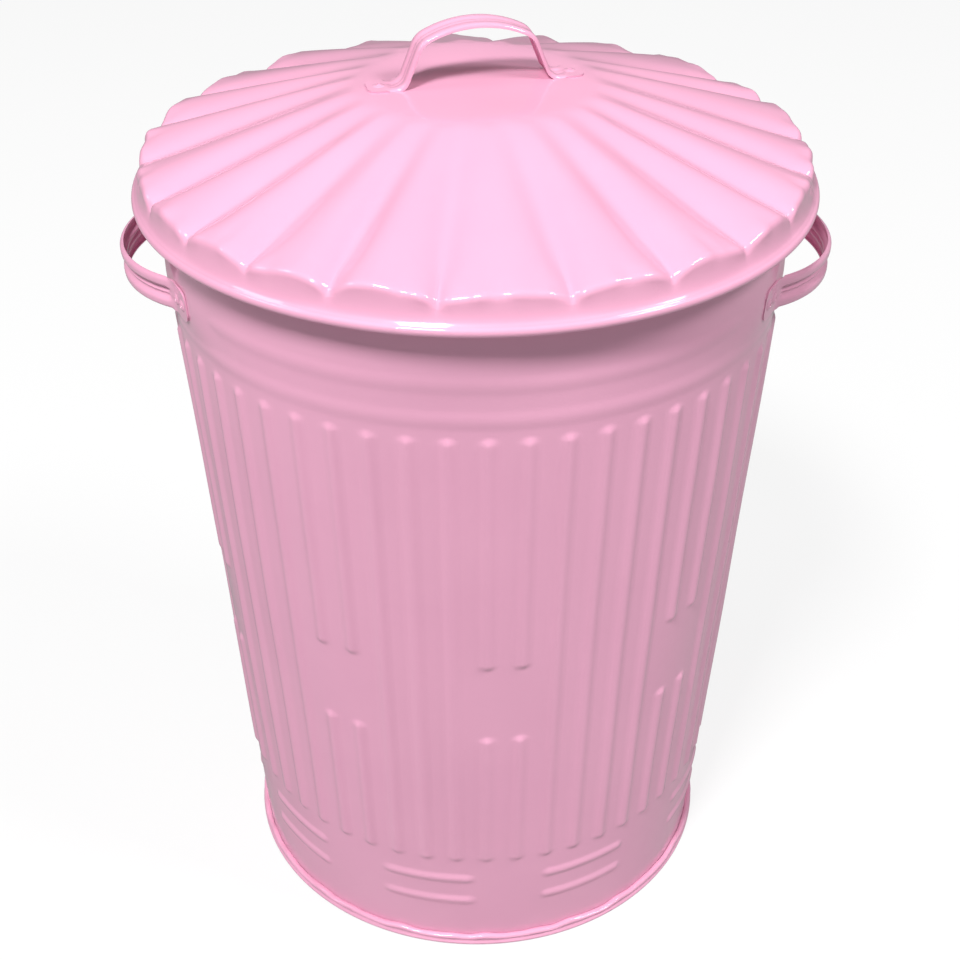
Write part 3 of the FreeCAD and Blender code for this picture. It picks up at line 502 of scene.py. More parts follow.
def coat_material(colours):
    """Glossy powder coat: pale and deep patches, orange peel and a faint handling haze."""
    material = bpy.data.materials.new("powder_coat")
    paint = Paint(material)
    place = paint.node("ShaderNodeTexCoord", "Object", {}, {})
    patches = paint.spread(paint.noise(place, *PATCHES), 0.35, 0.68)
    grain = paint.noise(place, *GRAIN)
    haze = paint.spread(paint.noise(place, *HAZE), 0.42, 0.75)
    shade = patches * 0.42 + grain * 0.16
    colour_here = paint.mix(shade, opaque(colours.coat), opaque(colours.coat_deep))
    roughness = haze * 0.07 + grain * 0.05 + (colours.roughness - 0.05)
    peel = paint.noise(place, *FINE_PEEL) * 0.6 + paint.noise(place, *BROAD_PEEL) * 0.4
    normal = paint.node("ShaderNodeBump", "Normal", {}, {
        "Strength": 0.10, "Distance": colours.peel, "Height": peel})
    skin = paint.node("ShaderNodeBsdfPrincipled", "BSDF", {}, {
        "Base Color": colour_here, "Roughness": roughness, "Normal": normal,
        "Coat Weight": colours.gloss, "Coat Roughness": colours.skin_roughness,
        "IOR": 1.5, "Specular IOR Level": colours.sheen})
    paint.finish("ShaderNodeOutputMaterial", skin)
    return material


def steel_material(colours):
    """Drawn steel wire and mandrels: dull, with fine streaks."""
    material = bpy.data.materials.new("drawn_steel")
    paint = Paint(material)
    place = paint.node("ShaderNodeTexCoord", "Object", {}, {})
    streaks = paint.noise(place, *STREAKS)
    tone = paint.mix(streaks, opaque(colours.steel), opaque([0.7 * part for part in colours.steel]))
    skin = paint.node("ShaderNodeBsdfPrincipled", "BSDF", {}, {
        "Base Color": tone, "Roughness": streaks * 0.2 + 0.35, "Metallic": 1.0})
    paint.finish("ShaderNodeOutputMaterial", skin)
    return material


def material_named(name, make, context):
    """The finish of that name, made when it is first asked for."""
    return bpy.data.materials.get(name) or make(context.scene.dustbin_finish)


def coat(context):
    return material_named("powder_coat", coat_material, context)


# Wall

def rib_groups():
    """The number of each group's first rib, and how many ribs the group has."""
    first = FIRST_GROUP_RIB
    for count in GROUP_STEPS:
        yield first, count
        first += count


def rib_push(sizes, turn, level, radius):
    """How far the upright ribs push the wall out."""
    pitch = FULL_TURN / RIB_COUNT
    half = sizes.rib_width / 2
    number = np.round((turn - sizes.rib_phase) / pitch)
    across = (turn - sizes.rib_phase - number * pitch) * radius
    broken = [(first + place) % RIB_COUNT for first, count in rib_groups() for place in range(BROKEN_RIBS)]

    def distance(bottom, top):
        return np.hypot(across, level - np.clip(level, bottom + half, top - half))

    whole = distance(sizes.rib_bottom, sizes.rib_top)
    parted = np.minimum(
        distance(sizes.rib_bottom, sizes.break_bottom), distance(sizes.break_top, sizes.rib_top))
    is_broken = np.isin(number.astype(int) % RIB_COUNT, broken)
    return sizes.rib_rise * swell(np.where(is_broken, parted, whole), half)


def bead_push(sizes, turn, level, radius):
    """How far the short level beads push the wall out, one pair under each group of whole ribs."""
    pitch = FULL_TURN / RIB_COUNT
    half = sizes.bead_height / 2
    push = np.zeros_like(turn)
    for first, count in rib_groups():
        centre = sizes.rib_phase + pitch * (first + BROKEN_RIBS + (count - BROKEN_RIBS - 1) / 2)
        across = wrapped(turn - centre) * radius
        reach = sizes.bead_span / 2 * sizes.base_radius - half
        beyond = across - np.clip(across, -reach, reach)
        for row in range(BEAD_ROWS):
            distance = np.hypot(beyond, level - sizes.bead_level - row * sizes.bead_pitch)
            push = np.maximum(push, sizes.bead_rise * swell(distance, half))
    return push


def swage_push(sizes, handle_level, turn, level):
    """How far the two swages round the top stand out, and the soft seats under the handles' feet."""
    swages = np.zeros_like(level)
    for row in range(SWAGE_COUNT):
        away = np.abs(level - sizes.swage_level - row * sizes.swage_pitch)
        swages = swages + sizes.swage_rise * swell(away, sizes.swage_width / 2)
    from_side = np.abs(np.abs(wrapped(turn)) - math.pi / 2)
    from_foot = np.abs(from_side - sizes.foot_place)
    under_foot = 1.0 - smooth_step(from_foot / sizes.foot_half, *SEAT_FADE)
    seats = sizes.seat_rise * swell(np.abs(level - handle_level), sizes.seat_height / 2)
    return np.maximum(swages, seats * under_foot)


def wall_form(sizes, handle_level):
    """The wall's form: ribs, beads, swages and seats, and the slow waves of a thin sheet."""

    def form(radius, turn, level):
        # Columns crowd towards the ribs, which need them most
        pitch = FULL_TURN / RIB_COUNT
        phase = (turn - sizes.rib_phase) / pitch * FULL_TURN
        turn = turn - RIB_CROWDING * pitch / FULL_TURN * np.sin(phase)
        push = np.maximum(rib_push(sizes, turn, level, radius), bead_push(sizes, turn, level, radius))
        push = push + swage_push(sizes, handle_level, turn, level)
        free = smooth_step(sizes.height - level, *RIM_CALM) * smooth_step(level, *FOOT_CALM)
        for strength, count, run, start in STRAY_WAVES:
            push = push + sizes.wobble * free * strength * np.sin(count * turn + run * level + start)
        return radius + push, turn, level
    return form


class DUSTBIN_OT_wall(bpy.types.Operator):
    """Builds the ribbed wall with its swages, beads and rolled rim"""

    bl_idname = "dustbin.wall"
    bl_label = "Ribbed wall"

    def execute(self, context):
        sizes = context.scene.dustbin_wall
        handle_level = context.scene.dustbin_strap.handle_level

        def plain(level):
            return sizes.base_radius + sizes.taper * level

        tube = sizes.rim_tube
        rim_level = sizes.height - tube
        rim_radius = plain(rim_level) - sizes.sheet + tube
        meet = math.degrees(math.acos((tube - sizes.sheet) / tube))
        # Levels crowd where the pressed forms start and end
        low_bead = sizes.bead_level
        high_bead = low_bead + sizes.bead_pitch
        stops = [
            (sizes.foot_level, 5), (low_bead - BEAD_REACH, 11), (low_bead + BEAD_REACH, 3),
            (high_bead - BEAD_REACH, 11), (high_bead + BEAD_REACH, 3),
            (sizes.rib_bottom - LEVEL_SLACK / 2, 7), (sizes.rib_bottom + RIB_END, 5),
            (sizes.break_bottom - RIB_END, 7), (sizes.break_bottom + LEVEL_SLACK, 4),
            (sizes.break_top - LEVEL_SLACK, 7), (sizes.break_top + RIB_END, 6),
            (sizes.rib_top - RIB_END, 7), (sizes.rib_top + LEVEL_SLACK, 3),
        ]
        for row in range(SWAGE_COUNT):
            middle = sizes.swage_level + sizes.swage_pitch * row
            stops += [(middle - sizes.swage_width / 2, 9), (middle + sizes.swage_width / 2, 4)]
        stops += [(handle_level + sizes.seat_height / 2, 4), (sizes.height - sizes.rim_start, 1)]
        outside = [(plain(level), level) for level in spaced(stops)]
        roll = arc_points((rim_radius, rim_level), tube, meet - 180.0, 360.0 - meet, 16)
        # The inside has about three fifths of the outside's levels
        back = [level for level, unused in stops[:0:-1]] + [sizes.inner_foot]
        counts = [max(count * 3 // 5, 2) for unused, count in stops[-2::-1]] + [1]
        inside = [(plain(level) - sizes.sheet, level) for level in spaced(list(zip(back, counts)))]
        bm = spun(outside + roll + inside, RIB_COUNT * COLUMNS_PER_RIB, True)
        reshape_round(bm, wall_form(sizes, handle_level))
        wear(finished(bm, "ribbed_wall"), "bin", ["body_shell"], coat(context))
        return {"FINISHED"}


# Bottom pan

class DUSTBIN_OT_pan(bpy.types.Operator):
    """Builds the bottom pan with the wrinkled fold round its edge"""

    bl_idname = "dustbin.pan"
    bl_label = "Bottom pan"

    def execute(self, context):
        sizes = context.scene.dustbin_pan
        wall = context.scene.dustbin_wall
        edge = wall.base_radius + sizes.fold_reach
        side = wall.base_radius + wall.taper * sizes.grip_level - wall.sheet - sizes.play
        lip = wall.base_radius + wall.taper * sizes.fold_height + sizes.lip_play
        top = sizes.fold_height
        under = sizes.recess - sizes.sheet
        upright = side - sizes.sheet
        corner = sizes.corner
        foot = sizes.foot_bend
        bend = sizes.fold_round
        inner = bend - sizes.sheet
        low_bead = (edge - bend, bend)
        high_bead = (edge - bend - sizes.bead_step, top - bend)
        # Along the underside, down the side, out round the fold's two beads to its lip and back
        points = [(radius, under) for radius in (*UNDERSIDE_STATIONS, side - sizes.flat_end)]
        points += arc_points((upright - corner, under - corner), corner, 90.0, -90.0, 5)
        points += arc_points((upright + foot, foot), foot, 180.0, 90.0, 5)
        points += arc_points(low_bead, bend, -90.0, FOLD_SWEEP, 8)
        points += arc_points(high_bead, bend, 90.0 - FOLD_SWEEP, FOLD_SWEEP, 8)
        points += [(lip + sizes.lip_round, top), (lip, top - sizes.lip_round / 3), (lip, top - sizes.sheet)]
        points += arc_points(high_bead, inner, 90.0, -FOLD_SWEEP, 5)
        points += arc_points(low_bead, inner, FOLD_SWEEP - 90.0, -FOLD_SWEEP, 5)
        points += [(side, sizes.sheet), (side, sizes.recess / 2), (side, sizes.recess)]
        points += [(radius, sizes.recess) for radius in UPPER_STATIONS]
        bm = spun(points, PAN_COLUMNS, False)

        def form(radius, turn, level):
            # The fold is hammered over by hand, so its edge wanders and it is dented here and there
            wave = np.sin(31 * turn + 0.8 * np.sin(5 * turn)) + 0.8 * np.sin(17 * turn + 1.1)
            wave = wave + 0.6 * np.sin(47 * turn + 2.0 * np.sin(3 * turn))
            outer = smooth_step(radius, wall.base_radius, edge - sizes.dent_inset)
            high = smooth_step(level, sizes.wrinkle_start, top)
            level = level + sizes.wrinkle * wave * high * smooth_step(radius, side, lip)
            radius = radius + sizes.dent * np.sin(23 * turn + 1.7 * np.sin(4 * turn)) * outer * high
            dish = sizes.dish * np.cos(np.clip(radius / sizes.dish_radius, 0, 1) * math.pi)
            return radius, turn, level - dish * (radius < sizes.flat_radius)

        reshape_round(bm, form)
        wear(finished(bm, "bottom_pan"), "bin", ["base_pan"], coat(context))
        return {"FINISHED"}


# Lid

def valley_turns():
    """Angles of all the valleys, from the first one to itself a turn later."""
    known = [math.radians(degrees) for degrees in FRONT_VALLEYS]
    left = FLUTE_COUNT - len(known) + 1
    gap = (known[0] + FULL_TURN - known[-1]) / left
    turns = list(known)
    for number in range(1, left):
        stray = 0.10 * math.sin(2.3 * number)
        turns.append(known[-1] + gap * (number + stray))
    return np.array(turns + [known[0] + FULL_TURN])


def crown_level(lid):
    """Height of the flat crown that the lid's handle stands on."""
    return lid.valley_level + lid.slope * (lid.wall_radius - lid.crown_radius)


def lid_form(sizes):
    """The lid's form: ridges between valleys, and a shoulder that is pinched where the valleys end."""
    valleys = valley_turns()
    wall = sizes.wall_radius
    skirt_top = sizes.valley_level - sizes.shoulder
    skirt_foot = sizes.roll_level + sizes.skirt_foot

    def within(radius, band):
        return smooth_step(radius, wall - band[0], wall - band[1])

    def form(radius, turn, level):
        # Each column gets its place between two valleys, and the columns crowd into the valleys
        flute = (turn % FULL_TURN) / FULL_TURN * FLUTE_COUNT
        flute = np.where(flute > FLUTE_COUNT - TINY, 0.0, flute)
        number = np.floor(flute + TINY).astype(int)
        part = np.clip(flute - number, 0.0, 1.0)
        part = part - VALLEY_CROWDING * np.sin(FULL_TURN * part) / FULL_TURN
        width = valleys[number + 1] - valleys[number]
        turn = valleys[number] + part * width
        out = np.clip((radius - sizes.crown_radius) / (wall - sizes.crown_radius), 0.0, 1.0)
        # Valleys are soft streaks between the broad backs of the ridges
        to_valley = np.minimum(part, 1.0 - part) * width * radius
        valley_width = sizes.valley_width - sizes.valley_narrowing * out ** 2.5
        flank = 1.0 - np.exp(-(to_valley / valley_width) ** 2)
        back = np.sin(math.pi * part) ** 2
        # Ridges differ a little in height and lean to one side or the other
        height = 1.0 + 0.10 * np.sin(2.7 * number + 0.6) + 0.06 * np.sin(5.1 * number)
        tilt = 1.0 + 0.12 * np.sin(3.9 * number + 1.2) * np.sin(FULL_TURN * part)
        # The valleys run out a little before the shoulder, where only narrow notches are left
        flank = flank + VALLEY_FILL * within(radius, RUN_OUT_BAND) * (1.0 - flank)
        rise = height * tilt * out ** 0.7 * (sizes.notch * flank + sizes.dome * back)
        # On the skirt the rise dies away downwards
        on_skirt = (radius > wall - sizes.skirt_slack) & (level < skirt_top)
        skirt_share = np.clip((level - skirt_foot) / (skirt_top - skirt_foot), 0.0, 1.0)
        rise = np.where(on_skirt, rise * skirt_share ** 1.3, rise)
        # Ends of valleys are pinched in, puckers dent the shoulder between them and its edge wanders
        near_edge = within(radius, PINCH_BAND) * smooth_step(level - skirt_foot, *PINCH_LEVELS)
        pinch = np.exp(-(to_valley / sizes.pinch_width) ** 2)
        for index, degrees in enumerate(PUCKERS):
            away = wrapped(turn - math.radians(degrees)) * wall
            depth = 0.36 + 0.2 * math.sin(2.1 * index)
            pinch = pinch + depth * np.exp(-(away / sizes.pucker_width) ** 2)
        pinch = sizes.pinch * pinch * near_edge
        wander = np.sin(67 * turn + 2.0 * np.sin(5 * turn)) + np.sin(41 * turn + 1.0 + np.sin(9 * turn))
        wander = sizes.wander * wander * within(radius, WANDER_BAND) * near_edge
        # The crown is never quite flat
        dent = sizes.crown_dent * np.sin(4 * turn + 0.5)
        dent = dent * smooth_step(radius, *CROWN_DENT_BAND) * (1.0 - out)
        return radius + wander - PINCH_INWARD * pinch, turn, level + rise + wander - pinch + dent
    return form


class DUSTBIN_OT_lid(bpy.types.Operator):
    """Builds the fluted lid with its skirt and rolled edge"""

    bl_idname = "dustbin.lid"
    bl_label = "Fluted lid"

    def execute(self, context):
        sizes = context.scene.dustbin_lid
        wall = sizes.wall_radius

        def valley(radius):
            # The cone bends softly into the flat crown
            beyond = radius - sizes.crown_radius
            beyond = (beyond + math.hypot(beyond, sizes.crown_bend)) / 2
            return sizes.valley_level + sizes.slope * (wall - sizes.crown_radius - beyond)

        def top_side(inset):
            """Points from the crown's middle to the skirt's top, on the outside or on the inside."""
            fall = math.atan(sizes.slope)
            centre_radius = wall - sizes.shoulder
            centre = (centre_radius, valley(centre_radius) - sizes.shoulder / math.cos(fall))
            radii = CROWN_STATIONS + CONE_STATIONS + EDGE_STATIONS
            points = [(radius, valley(radius) - inset / math.cos(fall)) for radius in radii]
            steep = 90.0 - math.degrees(fall) * SHOULDER_EASE
            return points + arc_points(centre, sizes.shoulder - inset, steep, -steep, 9)

        outside = top_side(0.0)
        top = outside[-1][1]
        low = sizes.roll_level + sizes.cove_level
        outside += [(wall, top + (low - top) * step / SKIRT_STEPS) for step in range(1, SKIRT_STEPS + 1)]
        # A small cove leads the skirt out into the rolled edge
        outside += arc_points((wall + sizes.cove, low), sizes.cove, 180.0, COVE_SWEEP, 6)[1:]
        roll = (sizes.roll_radius, sizes.roll_level)
        edge = arc_points(roll, sizes.roll_tube, ROLL_START, ROLL_SWEEP, 17)
        inside = top_side(sizes.sheet)[::-1]
        height = inside[0][1] - sizes.roll_level
        levels = [sizes.roll_level + height * step / SKIRT_STEPS for step in range(1, SKIRT_STEPS)]
        skirt = [(wall - sizes.sheet, level) for level in levels]
        bm = spun(outside + edge + skirt + inside, FLUTE_COUNT * COLUMNS_PER_FLUTE, False)
        reshape_round(bm, lid_form(sizes))
        wear(finished(bm, "fluted_lid"), "lid", ["lid_shell"], coat(context))
        return {"FINISHED"}


# Strap handles

class Run:
    """A path in a plane, made of straight runs and bends, measured along its length."""

    def __init__(self, place, heading):
        self.start = (Vector(place), heading)
        self.parts = []
        self.length = 0.0

    def go(self, distance, radius=None, turn=1):
        """Goes on by a distance, straight or round a bend to the left (1) or right (-1)."""
        self.parts.append((distance, radius, turn))
        self.length += distance
        return self

    def at(self, distance):
        """The place and heading at a distance from the start."""
        place, heading = self.start
        for index, (size, radius, turn) in enumerate(self.parts):
            last = index == len(self.parts) - 1
            step = distance if last else min(distance, size)
            if radius is None:
                place = place + Vector((math.cos(heading), math.sin(heading))) * step
            else:
                centre = place + Vector((-math.sin(heading), math.cos(heading))) * radius * turn
                heading += turn * step / radius
                place = centre - Vector((-math.sin(heading), math.cos(heading))) * radius * turn
            distance -= step
            if distance <= 0.0:
                break
        return place, heading


def strap_section(sizes, across, pressed, groove_share):
    """Offset of the strap's outer face at a share across its width, pressed or left flat."""
    half = sizes.width / 2
    flat = half - sizes.edge
    run = flat + sizes.edge * math.pi / 2
    travel = across * run
    beyond = max(abs(travel) - flat, 0.0) / sizes.edge
    side = math.copysign(1.0, travel)
    rolled_across = side * (min(abs(travel), flat) + sizes.edge * math.sin(beyond))
    rolled_drop = sizes.edge * (1.0 - math.cos(beyond))
    groove_half = sizes.groove_width / 2
    near = min(abs(rolled_across) / groove_half, 1.0)
    groove = sizes.groove_depth * (1.0 - near ** 3) ** 2
    ridge = sizes.groove_ridge * math.exp(-(rolled_across / sizes.ridge_width) ** 2)
    flat_across = across * half
    out = -rolled_drop - (groove - ridge) * groove_share
    return flat_across + (rolled_across - flat_across) * pressed, out * pressed


def strap(sizes, run, pressed_to, groove_share, place):
    """A strap that follows a path and its mirror image, pressed with a groove over its middle part."""
    bm = bmesh.new()
    bmesh.ops.create_grid(bm, x_segments=STRAP_STEPS_ALONG, y_segments=STRAP_STEPS_ACROSS, size=1.0)
    for vert in bm.verts:
        share_along = vert.co.x
        share_across = vert.co.y
        distance = abs(share_along) * run.length
        pressed = 1.0 - float(smooth_step(distance - pressed_to, *PRESS_FADE))
        across, out = strap_section(sizes, share_across, pressed, groove_share)
        if distance > run.length - sizes.end_round:
            # The strap's ends are cut round
            corner = (distance - run.length + sizes.end_round) / sizes.end_round
            across *= 1.0 - END_NARROWING * (1.0 - math.sqrt(max(1.0 - corner * corner, 0.0)))
        point, heading = run.at(distance)
        normal = Vector((-math.sin(heading), math.cos(heading)))
        spot = point + normal * (out + sizes.sheet / 2)
        if share_along < 0.0:
            spot = Vector((-spot.x, spot.y))
        vert.co = place(spot.x, spot.y, across)
    bmesh.ops.recalc_face_normals(bm, faces=bm.faces)
    return bm


def thickened(bm, sheet, away):
    """Gives a strap its thickness, with its outer face turned the given way at its middle."""
    middle = max(bm.faces, key=lambda face: face.calc_center_median().dot(away))
    if middle.normal.dot(away) < 0.0:
        bmesh.ops.reverse_faces(bm, faces=bm.faces)
    bmesh.ops.solidify(bm, geom=bm.faces[:], thickness=sheet)
    bmesh.ops.recalc_face_normals(bm, faces=bm.faces)
    return bm


def foot_tip(straps):
    """Angle from a side handle's middle to the end of its foot."""
    return math.asin(straps.foot_span / 2 / straps.foot_radius)


class DUSTBIN_OT_lid_handle(bpy.types.Operator):
    """Builds the strap handle on the lid's crown"""

    bl_idname = "dustbin.lid_handle"
    bl_label = "Lid handle"

    def execute(self, context):
        sizes = context.scene.dustbin_strap
        lid = context.scene.dustbin_lid
        crown = crown_level(lid)
        pad_level = sizes.sheet / 2
        apex = pad_level + sizes.arch_rise
        # The bow, its corner, the leg and the heel together reach from the apex to the pad
        lean = sizes.leg_lean
        arch = sizes.arch_radius
        corner = sizes.arch_corner
        heel = sizes.heel_bend
        reach = sizes.pad_start * math.sin(lean) - (sizes.arch_rise - arch) * math.cos(lean)
        reach -= corner + heel * (1.0 - math.cos(lean))
        corner_swing = math.acos(reach / (arch - corner))
        arch_swing = lean - corner_swing
        drop = arch - (arch - corner) * math.cos(arch_swing) - corner * math.cos(lean)
        leg = (sizes.arch_rise - drop - heel * (1.0 - math.cos(lean))) / math.sin(lean)
        run = Run((0.0, apex), 0.0)
        run.go(arch * arch_swing, arch, -1)
        run.go(corner * corner_swing, corner, -1)
        run.go(leg)
        run.go(heel * lean, heel, 1)
        run.go(sizes.pad_end - sizes.pad_start)
        turned = Matrix.Rotation(lid.turn, 3, "Z")

        def place(along, up, across):
            return turned @ Vector((along, across, crown + up))

        bm = strap(sizes, run, run.length - sizes.lid_press_end, sizes.lid_groove, place)
        thickened(bm, sizes.sheet, Vector((0.0, 0.0, 1.0)))
        wear(finished(bm, "lid_bow", STRAP_SHARP), "lid", ["lid_handle"], coat(context))
        return {"FINISHED"}


class DUSTBIN_OT_side_handles(bpy.types.Operator):
    """Builds the two strap handles on the wall"""

    bl_idname = "dustbin.side_handles"
    bl_label = "Side handles"

    def execute(self, context):
        sizes = context.scene.dustbin_strap
        foot = sizes.foot_radius
        apex = foot + sizes.grip_reach
        grip_centre = apex - sizes.grip_radius
        to_bend = foot + sizes.root_bend
        grip_to_bend = sizes.grip_radius + sizes.root_bend
        reach = (to_bend ** 2 - grip_to_bend ** 2 + grip_centre ** 2) / (2 * grip_centre)
        aside = math.sqrt(to_bend ** 2 - reach ** 2)
        grip_swing = math.atan2(aside, reach - grip_centre)
        foot_start = math.atan2(aside, reach)
        # The path is drawn with its apex up: along the wall, then away from it
        run = Run((0.0, apex), 0.0)
        run.go(sizes.grip_radius * grip_swing, sizes.grip_radius, -1)
        run.go(sizes.root_bend * (grip_swing - foot_start), sizes.root_bend, 1)
        run.go(foot * (foot_tip(sizes) - foot_start), foot, -1)
        lean = Matrix.Rotation(sizes.lean, 3, "Y")
        pivot = Vector((sizes.handle_pivot, 0.0, sizes.handle_level))
        pressed_to = sizes.grip_radius * grip_swing - sizes.grip_press_end
        for side, sign in SIDES:
            bow = "%s_bow" % side
            node = "side_handle_%s" % side

            def place(along, out, across):
                spot = pivot + lean @ Vector((out - sizes.handle_pivot, along, across))
                return Vector((sign * spot.x, spot.y, spot.z))

            bm = strap(sizes, run, pressed_to, 1.0, place)
            thickened(bm, sizes.sheet, Vector((sign, 0.0, 0.0)))
            wear(finished(bm, bow, STRAP_SHARP), "bin", [node], coat(context))
        return {"FINISHED"}


# Rivets

def rivet_outline(sizes, grip, rise):
    """Outline of a blind rivet from its tail to the lip of its bore, with nought under the head."""
    bore = sizes.bore / 2
    head = sizes.head / 2
    shank = sizes.shank / 2
    tail = sizes.tail / 2
    seat = -grip
    end = seat - sizes.tail_length
    dome = (head * head + rise * rise) / (2 * rise)
    start = math.degrees(math.acos(head / dome))
    finish = math.degrees(math.acos((bore + sizes.lip) / dome))
    points = [(bore, end), (tail - sizes.bevel, end), (tail, end + sizes.bevel_height)]
    points += [(tail, seat - sizes.neck), (shank, seat), (shank, 0.0), (head - sizes.lip, 0.0)]
    points += arc_points((0.0, rise - dome), dome, start, finish - start, 6)
    points += [(bore, rise - sizes.bevel), (bore, -sizes.bore_row)]
    return points


def add_rivet(bm, sizes, grip, rise, place):
    """Adds one blind rivet to a mesh of several, moved to its place."""
    rivet = spun(rivet_outline(sizes, grip, rise), RIVET_COLUMNS, True)
    bmesh.ops.transform(rivet, matrix=place, verts=rivet.verts)
    mesh = bpy.data.meshes.new("rivet")
    rivet.to_mesh(mesh)
    rivet.free()
    bm.from_mesh(mesh)
    bpy.data.meshes.remove(mesh)


class DUSTBIN_OT_rivets(bpy.types.Operator):
    """Builds the blind rivets of all the handles"""

    bl_idname = "dustbin.rivets"
    bl_label = "Rivets"

    def execute(self, context):
        sizes = context.scene.dustbin_rivet
        straps = context.scene.dustbin_strap
        lid = context.scene.dustbin_lid
        face = straps.foot_radius + straps.sheet / 2
        tip = foot_tip(straps)
        lean = Matrix.Rotation(straps.lean, 4, "Y")
        pivot = Matrix.Translation((straps.handle_pivot, 0.0, straps.handle_level))
        to_right = Matrix.Rotation(math.pi / 2, 4, "Y")
        for side, side_sign in SIDES:
            flip = Matrix.Diagonal((side_sign, 1.0, 1.0, 1.0))
            for end, end_sign in ENDS:
                bm = bmesh.new()
                for step in range(RIVETS_PER_FOOT):
                    back = (sizes.edge + sizes.pitch * step) / straps.foot_radius
                    out = Matrix.Rotation(end_sign * (tip - back), 4, "Z")
                    seat = Matrix.Translation((-straps.handle_pivot, 0.0, 0.0)) @ out
                    seat = seat @ Matrix.Translation((face, 0.0, 0.0)) @ to_right
                    add_rivet(bm, sizes, sizes.side_grip, sizes.head_rise, flip @ pivot @ lean @ seat)
                bmesh.ops.recalc_face_normals(bm, faces=bm.faces)
                name = "%s_%s_rivet_pair" % (side, end)
                node = "%s_%s_rivets" % (side, end)
                wear(finished(bm, name, RIVET_SHARP), "bin", [node], coat(context))
        seat_level = crown_level(lid) + straps.sheet
        middle = (straps.pad_start + straps.pad_end) / 2
        turned = Matrix.Rotation(lid.turn, 4, "Z")
        for side, sign in SIDES:
            bm = bmesh.new()
            place = turned @ Matrix.Translation((sign * middle, 0.0, seat_level))
            add_rivet(bm, sizes, sizes.lid_grip, sizes.lid_head_rise, place)
            name = "lid_bow_rivet_%s" % side
            node = "lid_handle_rivet_%s" % side
            wear(finished(bm, name, RIVET_SHARP), "lid", [node], coat(context))
        return {"FINISHED"}


class DUSTBIN_OT_steel(bpy.types.Operator):
    """Finishes the wires in the rolled edges and the mandrels in the rivets as bare steel"""

    bl_idname = "dustbin.steel"
    bl_label = "Wires and mandrels"

    def execute(self, context):
        steel = material_named("drawn_steel", steel_material, context)
        for name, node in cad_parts.items():
            if name.endswith("_wire") or "mandrel" in name:
                node.data.materials.clear()
                node.data.materials.append(steel)
        return {"FINISHED"}


# Stage

def add_lamp(name, watts, size, place):
    """Adds an area lamp that faces the lamps' common target."""
    lamp = bpy.data.lights.new(name, "AREA")
    lamp.energy = watts
    lamp.shape = "RECTANGLE"
    lamp.size = size[0]
    lamp.size_y = size[1]
    holder = bpy.data.objects.new(name, lamp)
    holder.location = place
    aim = Vector(LAMP_TARGET) - Vector(place)
    holder.rotation_euler = aim.to_track_quat("-Z", "Y").to_euler()
    bpy.context.scene.collection.objects.link(holder)


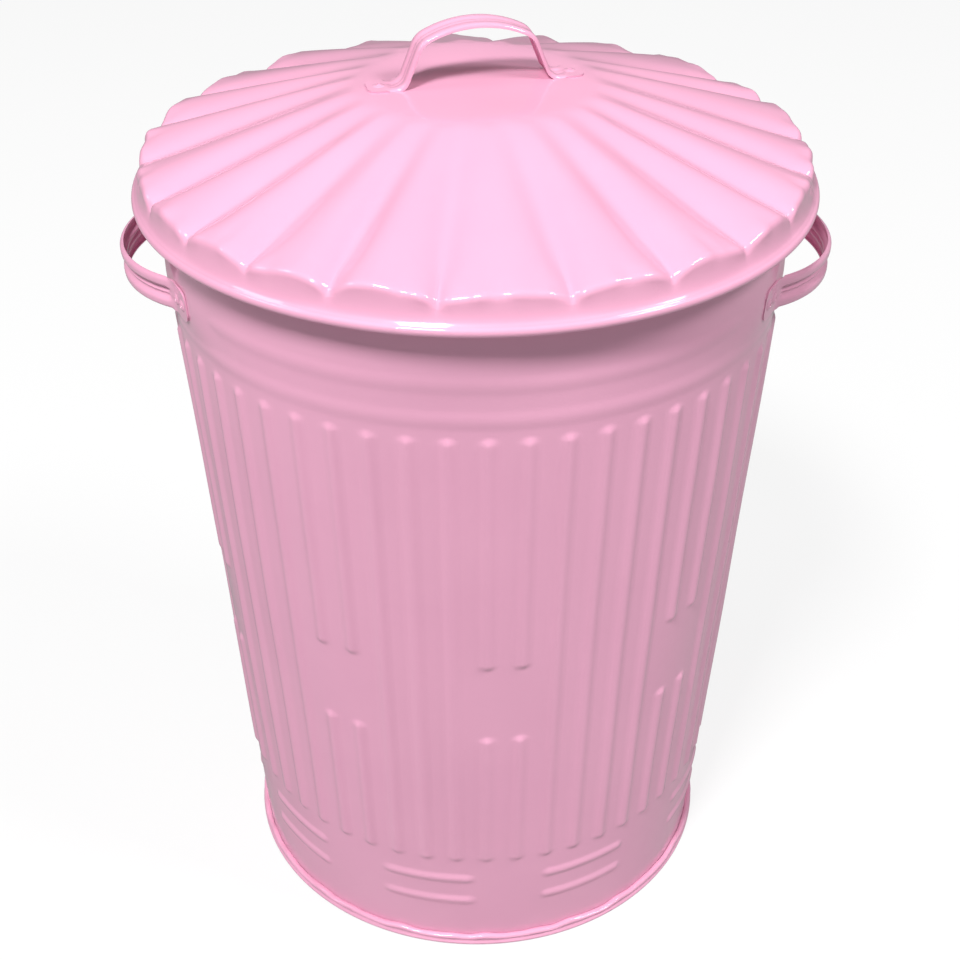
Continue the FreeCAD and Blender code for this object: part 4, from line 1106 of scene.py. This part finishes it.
class DUSTBIN_OT_stage(bpy.types.Operator):
    """Sets the floor, the lights, the pale surroundings and the camera"""

    bl_idname = "dustbin.stage"
    bl_label = "Stage"

    def execute(self, context):
        scene = context.scene
        looks = scene.dustbin_stage
        bm = bmesh.new()
        bmesh.ops.create_grid(bm, x_segments=8, y_segments=8, size=looks.floor_half)
        floor = finished(bm, "floor")
        material = bpy.data.materials.new("floor")
        paint = Paint(material)
        seen = paint.node("ShaderNodeLightPath", "Is Camera Ray", {}, {})
        tone = paint.mix(seen, opaque(looks.floor), opaque(looks.floor_seen))
        matt = paint.node("ShaderNodeBsdfDiffuse", "BSDF", {}, {"Color": tone})
        glow = paint.node("ShaderNodeEmission", "Emission", {}, {"Color": WHITE, "Strength": 1.0})
        paint.finish("ShaderNodeOutputMaterial", paint.node(
            "ShaderNodeMixShader", "Shader", {}, {0: seen * looks.floor_glow, 1: matt, 2: glow}))
        floor.data.materials.append(material)

        world = bpy.data.worlds.new("studio")
        scene.world = world
        paint = Paint(world)
        camera_ray = paint.node("ShaderNodeLightPath", "Is Camera Ray", {}, {})
        glossy_ray = paint.node("ShaderNodeLightPath", "Is Glossy Ray", {}, {})
        # The camera sees white all round, the gloss a dimmer grey, and the rest only the ambient light
        strength = camera_ray * (1.0 - looks.ambient) + glossy_ray * (looks.mirrored - looks.ambient)
        strength = strength + looks.ambient
        paint.finish("ShaderNodeOutputWorld", paint.node(
            "ShaderNodeBackground", "Background", {}, {"Color": WHITE, "Strength": strength}))

        for name, size, place in LAMPS:
            add_lamp(name, getattr(looks, name), size, place)

        camera = bpy.data.cameras.new("camera")
        camera.lens = looks.lens
        camera.sensor_width = FILM_WIDTH
        holder = bpy.data.objects.new("camera", camera)
        roll = Matrix.Rotation(math.radians(CAMERA_ROLL), 3, "Z").to_quaternion()
        facing = Vector(CAMERA_AIM).to_track_quat("-Z", "Y") @ roll
        holder.rotation_euler = facing.to_euler()
        holder.location = CAMERA_PLACE
        scene.collection.objects.link(holder)
        scene.camera = holder
        scene.view_settings.view_transform = "Standard"
        return {"FINISHED"}


class DUSTBIN_PT_sidebar(bpy.types.Panel):
    """Lists the pieces of the dustbin"""

    bl_idname = "DUSTBIN_PT_sidebar"
    bl_label = "Dustbin"
    bl_space_type = "VIEW_3D"
    bl_region_type = "UI"
    bl_category = "Dustbin"

    def draw(self, context):
        for operator in OPERATORS:
            self.layout.operator(operator.bl_idname)


GROUPS = (
    ("dustbin_wall", WallSizes),
    ("dustbin_pan", PanSizes),
    ("dustbin_lid", LidSizes),
    ("dustbin_strap", StrapSizes),
    ("dustbin_rivet", RivetSizes),
    ("dustbin_finish", FinishColours),
    ("dustbin_stage", StageLooks),
)
OPERATORS = (
    DUSTBIN_OT_wall,
    DUSTBIN_OT_pan,
    DUSTBIN_OT_lid,
    DUSTBIN_OT_lid_handle,
    DUSTBIN_OT_side_handles,
    DUSTBIN_OT_rivets,
    DUSTBIN_OT_steel,
    DUSTBIN_OT_stage,
)


def register():
    for name, group in GROUPS:
        bpy.utils.register_class(group)
        setattr(bpy.types.Scene, name, PointerProperty(type=group))
    for operator in OPERATORS:
        bpy.utils.register_class(operator)
    bpy.utils.register_class(DUSTBIN_PT_sidebar)


def unregister():
    bpy.utils.unregister_class(DUSTBIN_PT_sidebar)
    for operator in reversed(OPERATORS):
        bpy.utils.unregister_class(operator)
    for name, group in reversed(GROUPS):
        delattr(bpy.types.Scene, name)
        bpy.utils.unregister_class(group)


def main():
    register()
    bpy.ops.dustbin.wall()
    bpy.ops.dustbin.pan()
    bpy.ops.dustbin.lid()
    bpy.ops.dustbin.lid_handle()
    bpy.ops.dustbin.side_handles()
    bpy.ops.dustbin.rivets()
    bpy.ops.dustbin.steel()
    bpy.ops.dustbin.stage()


if __name__ == "__main__":
    main()
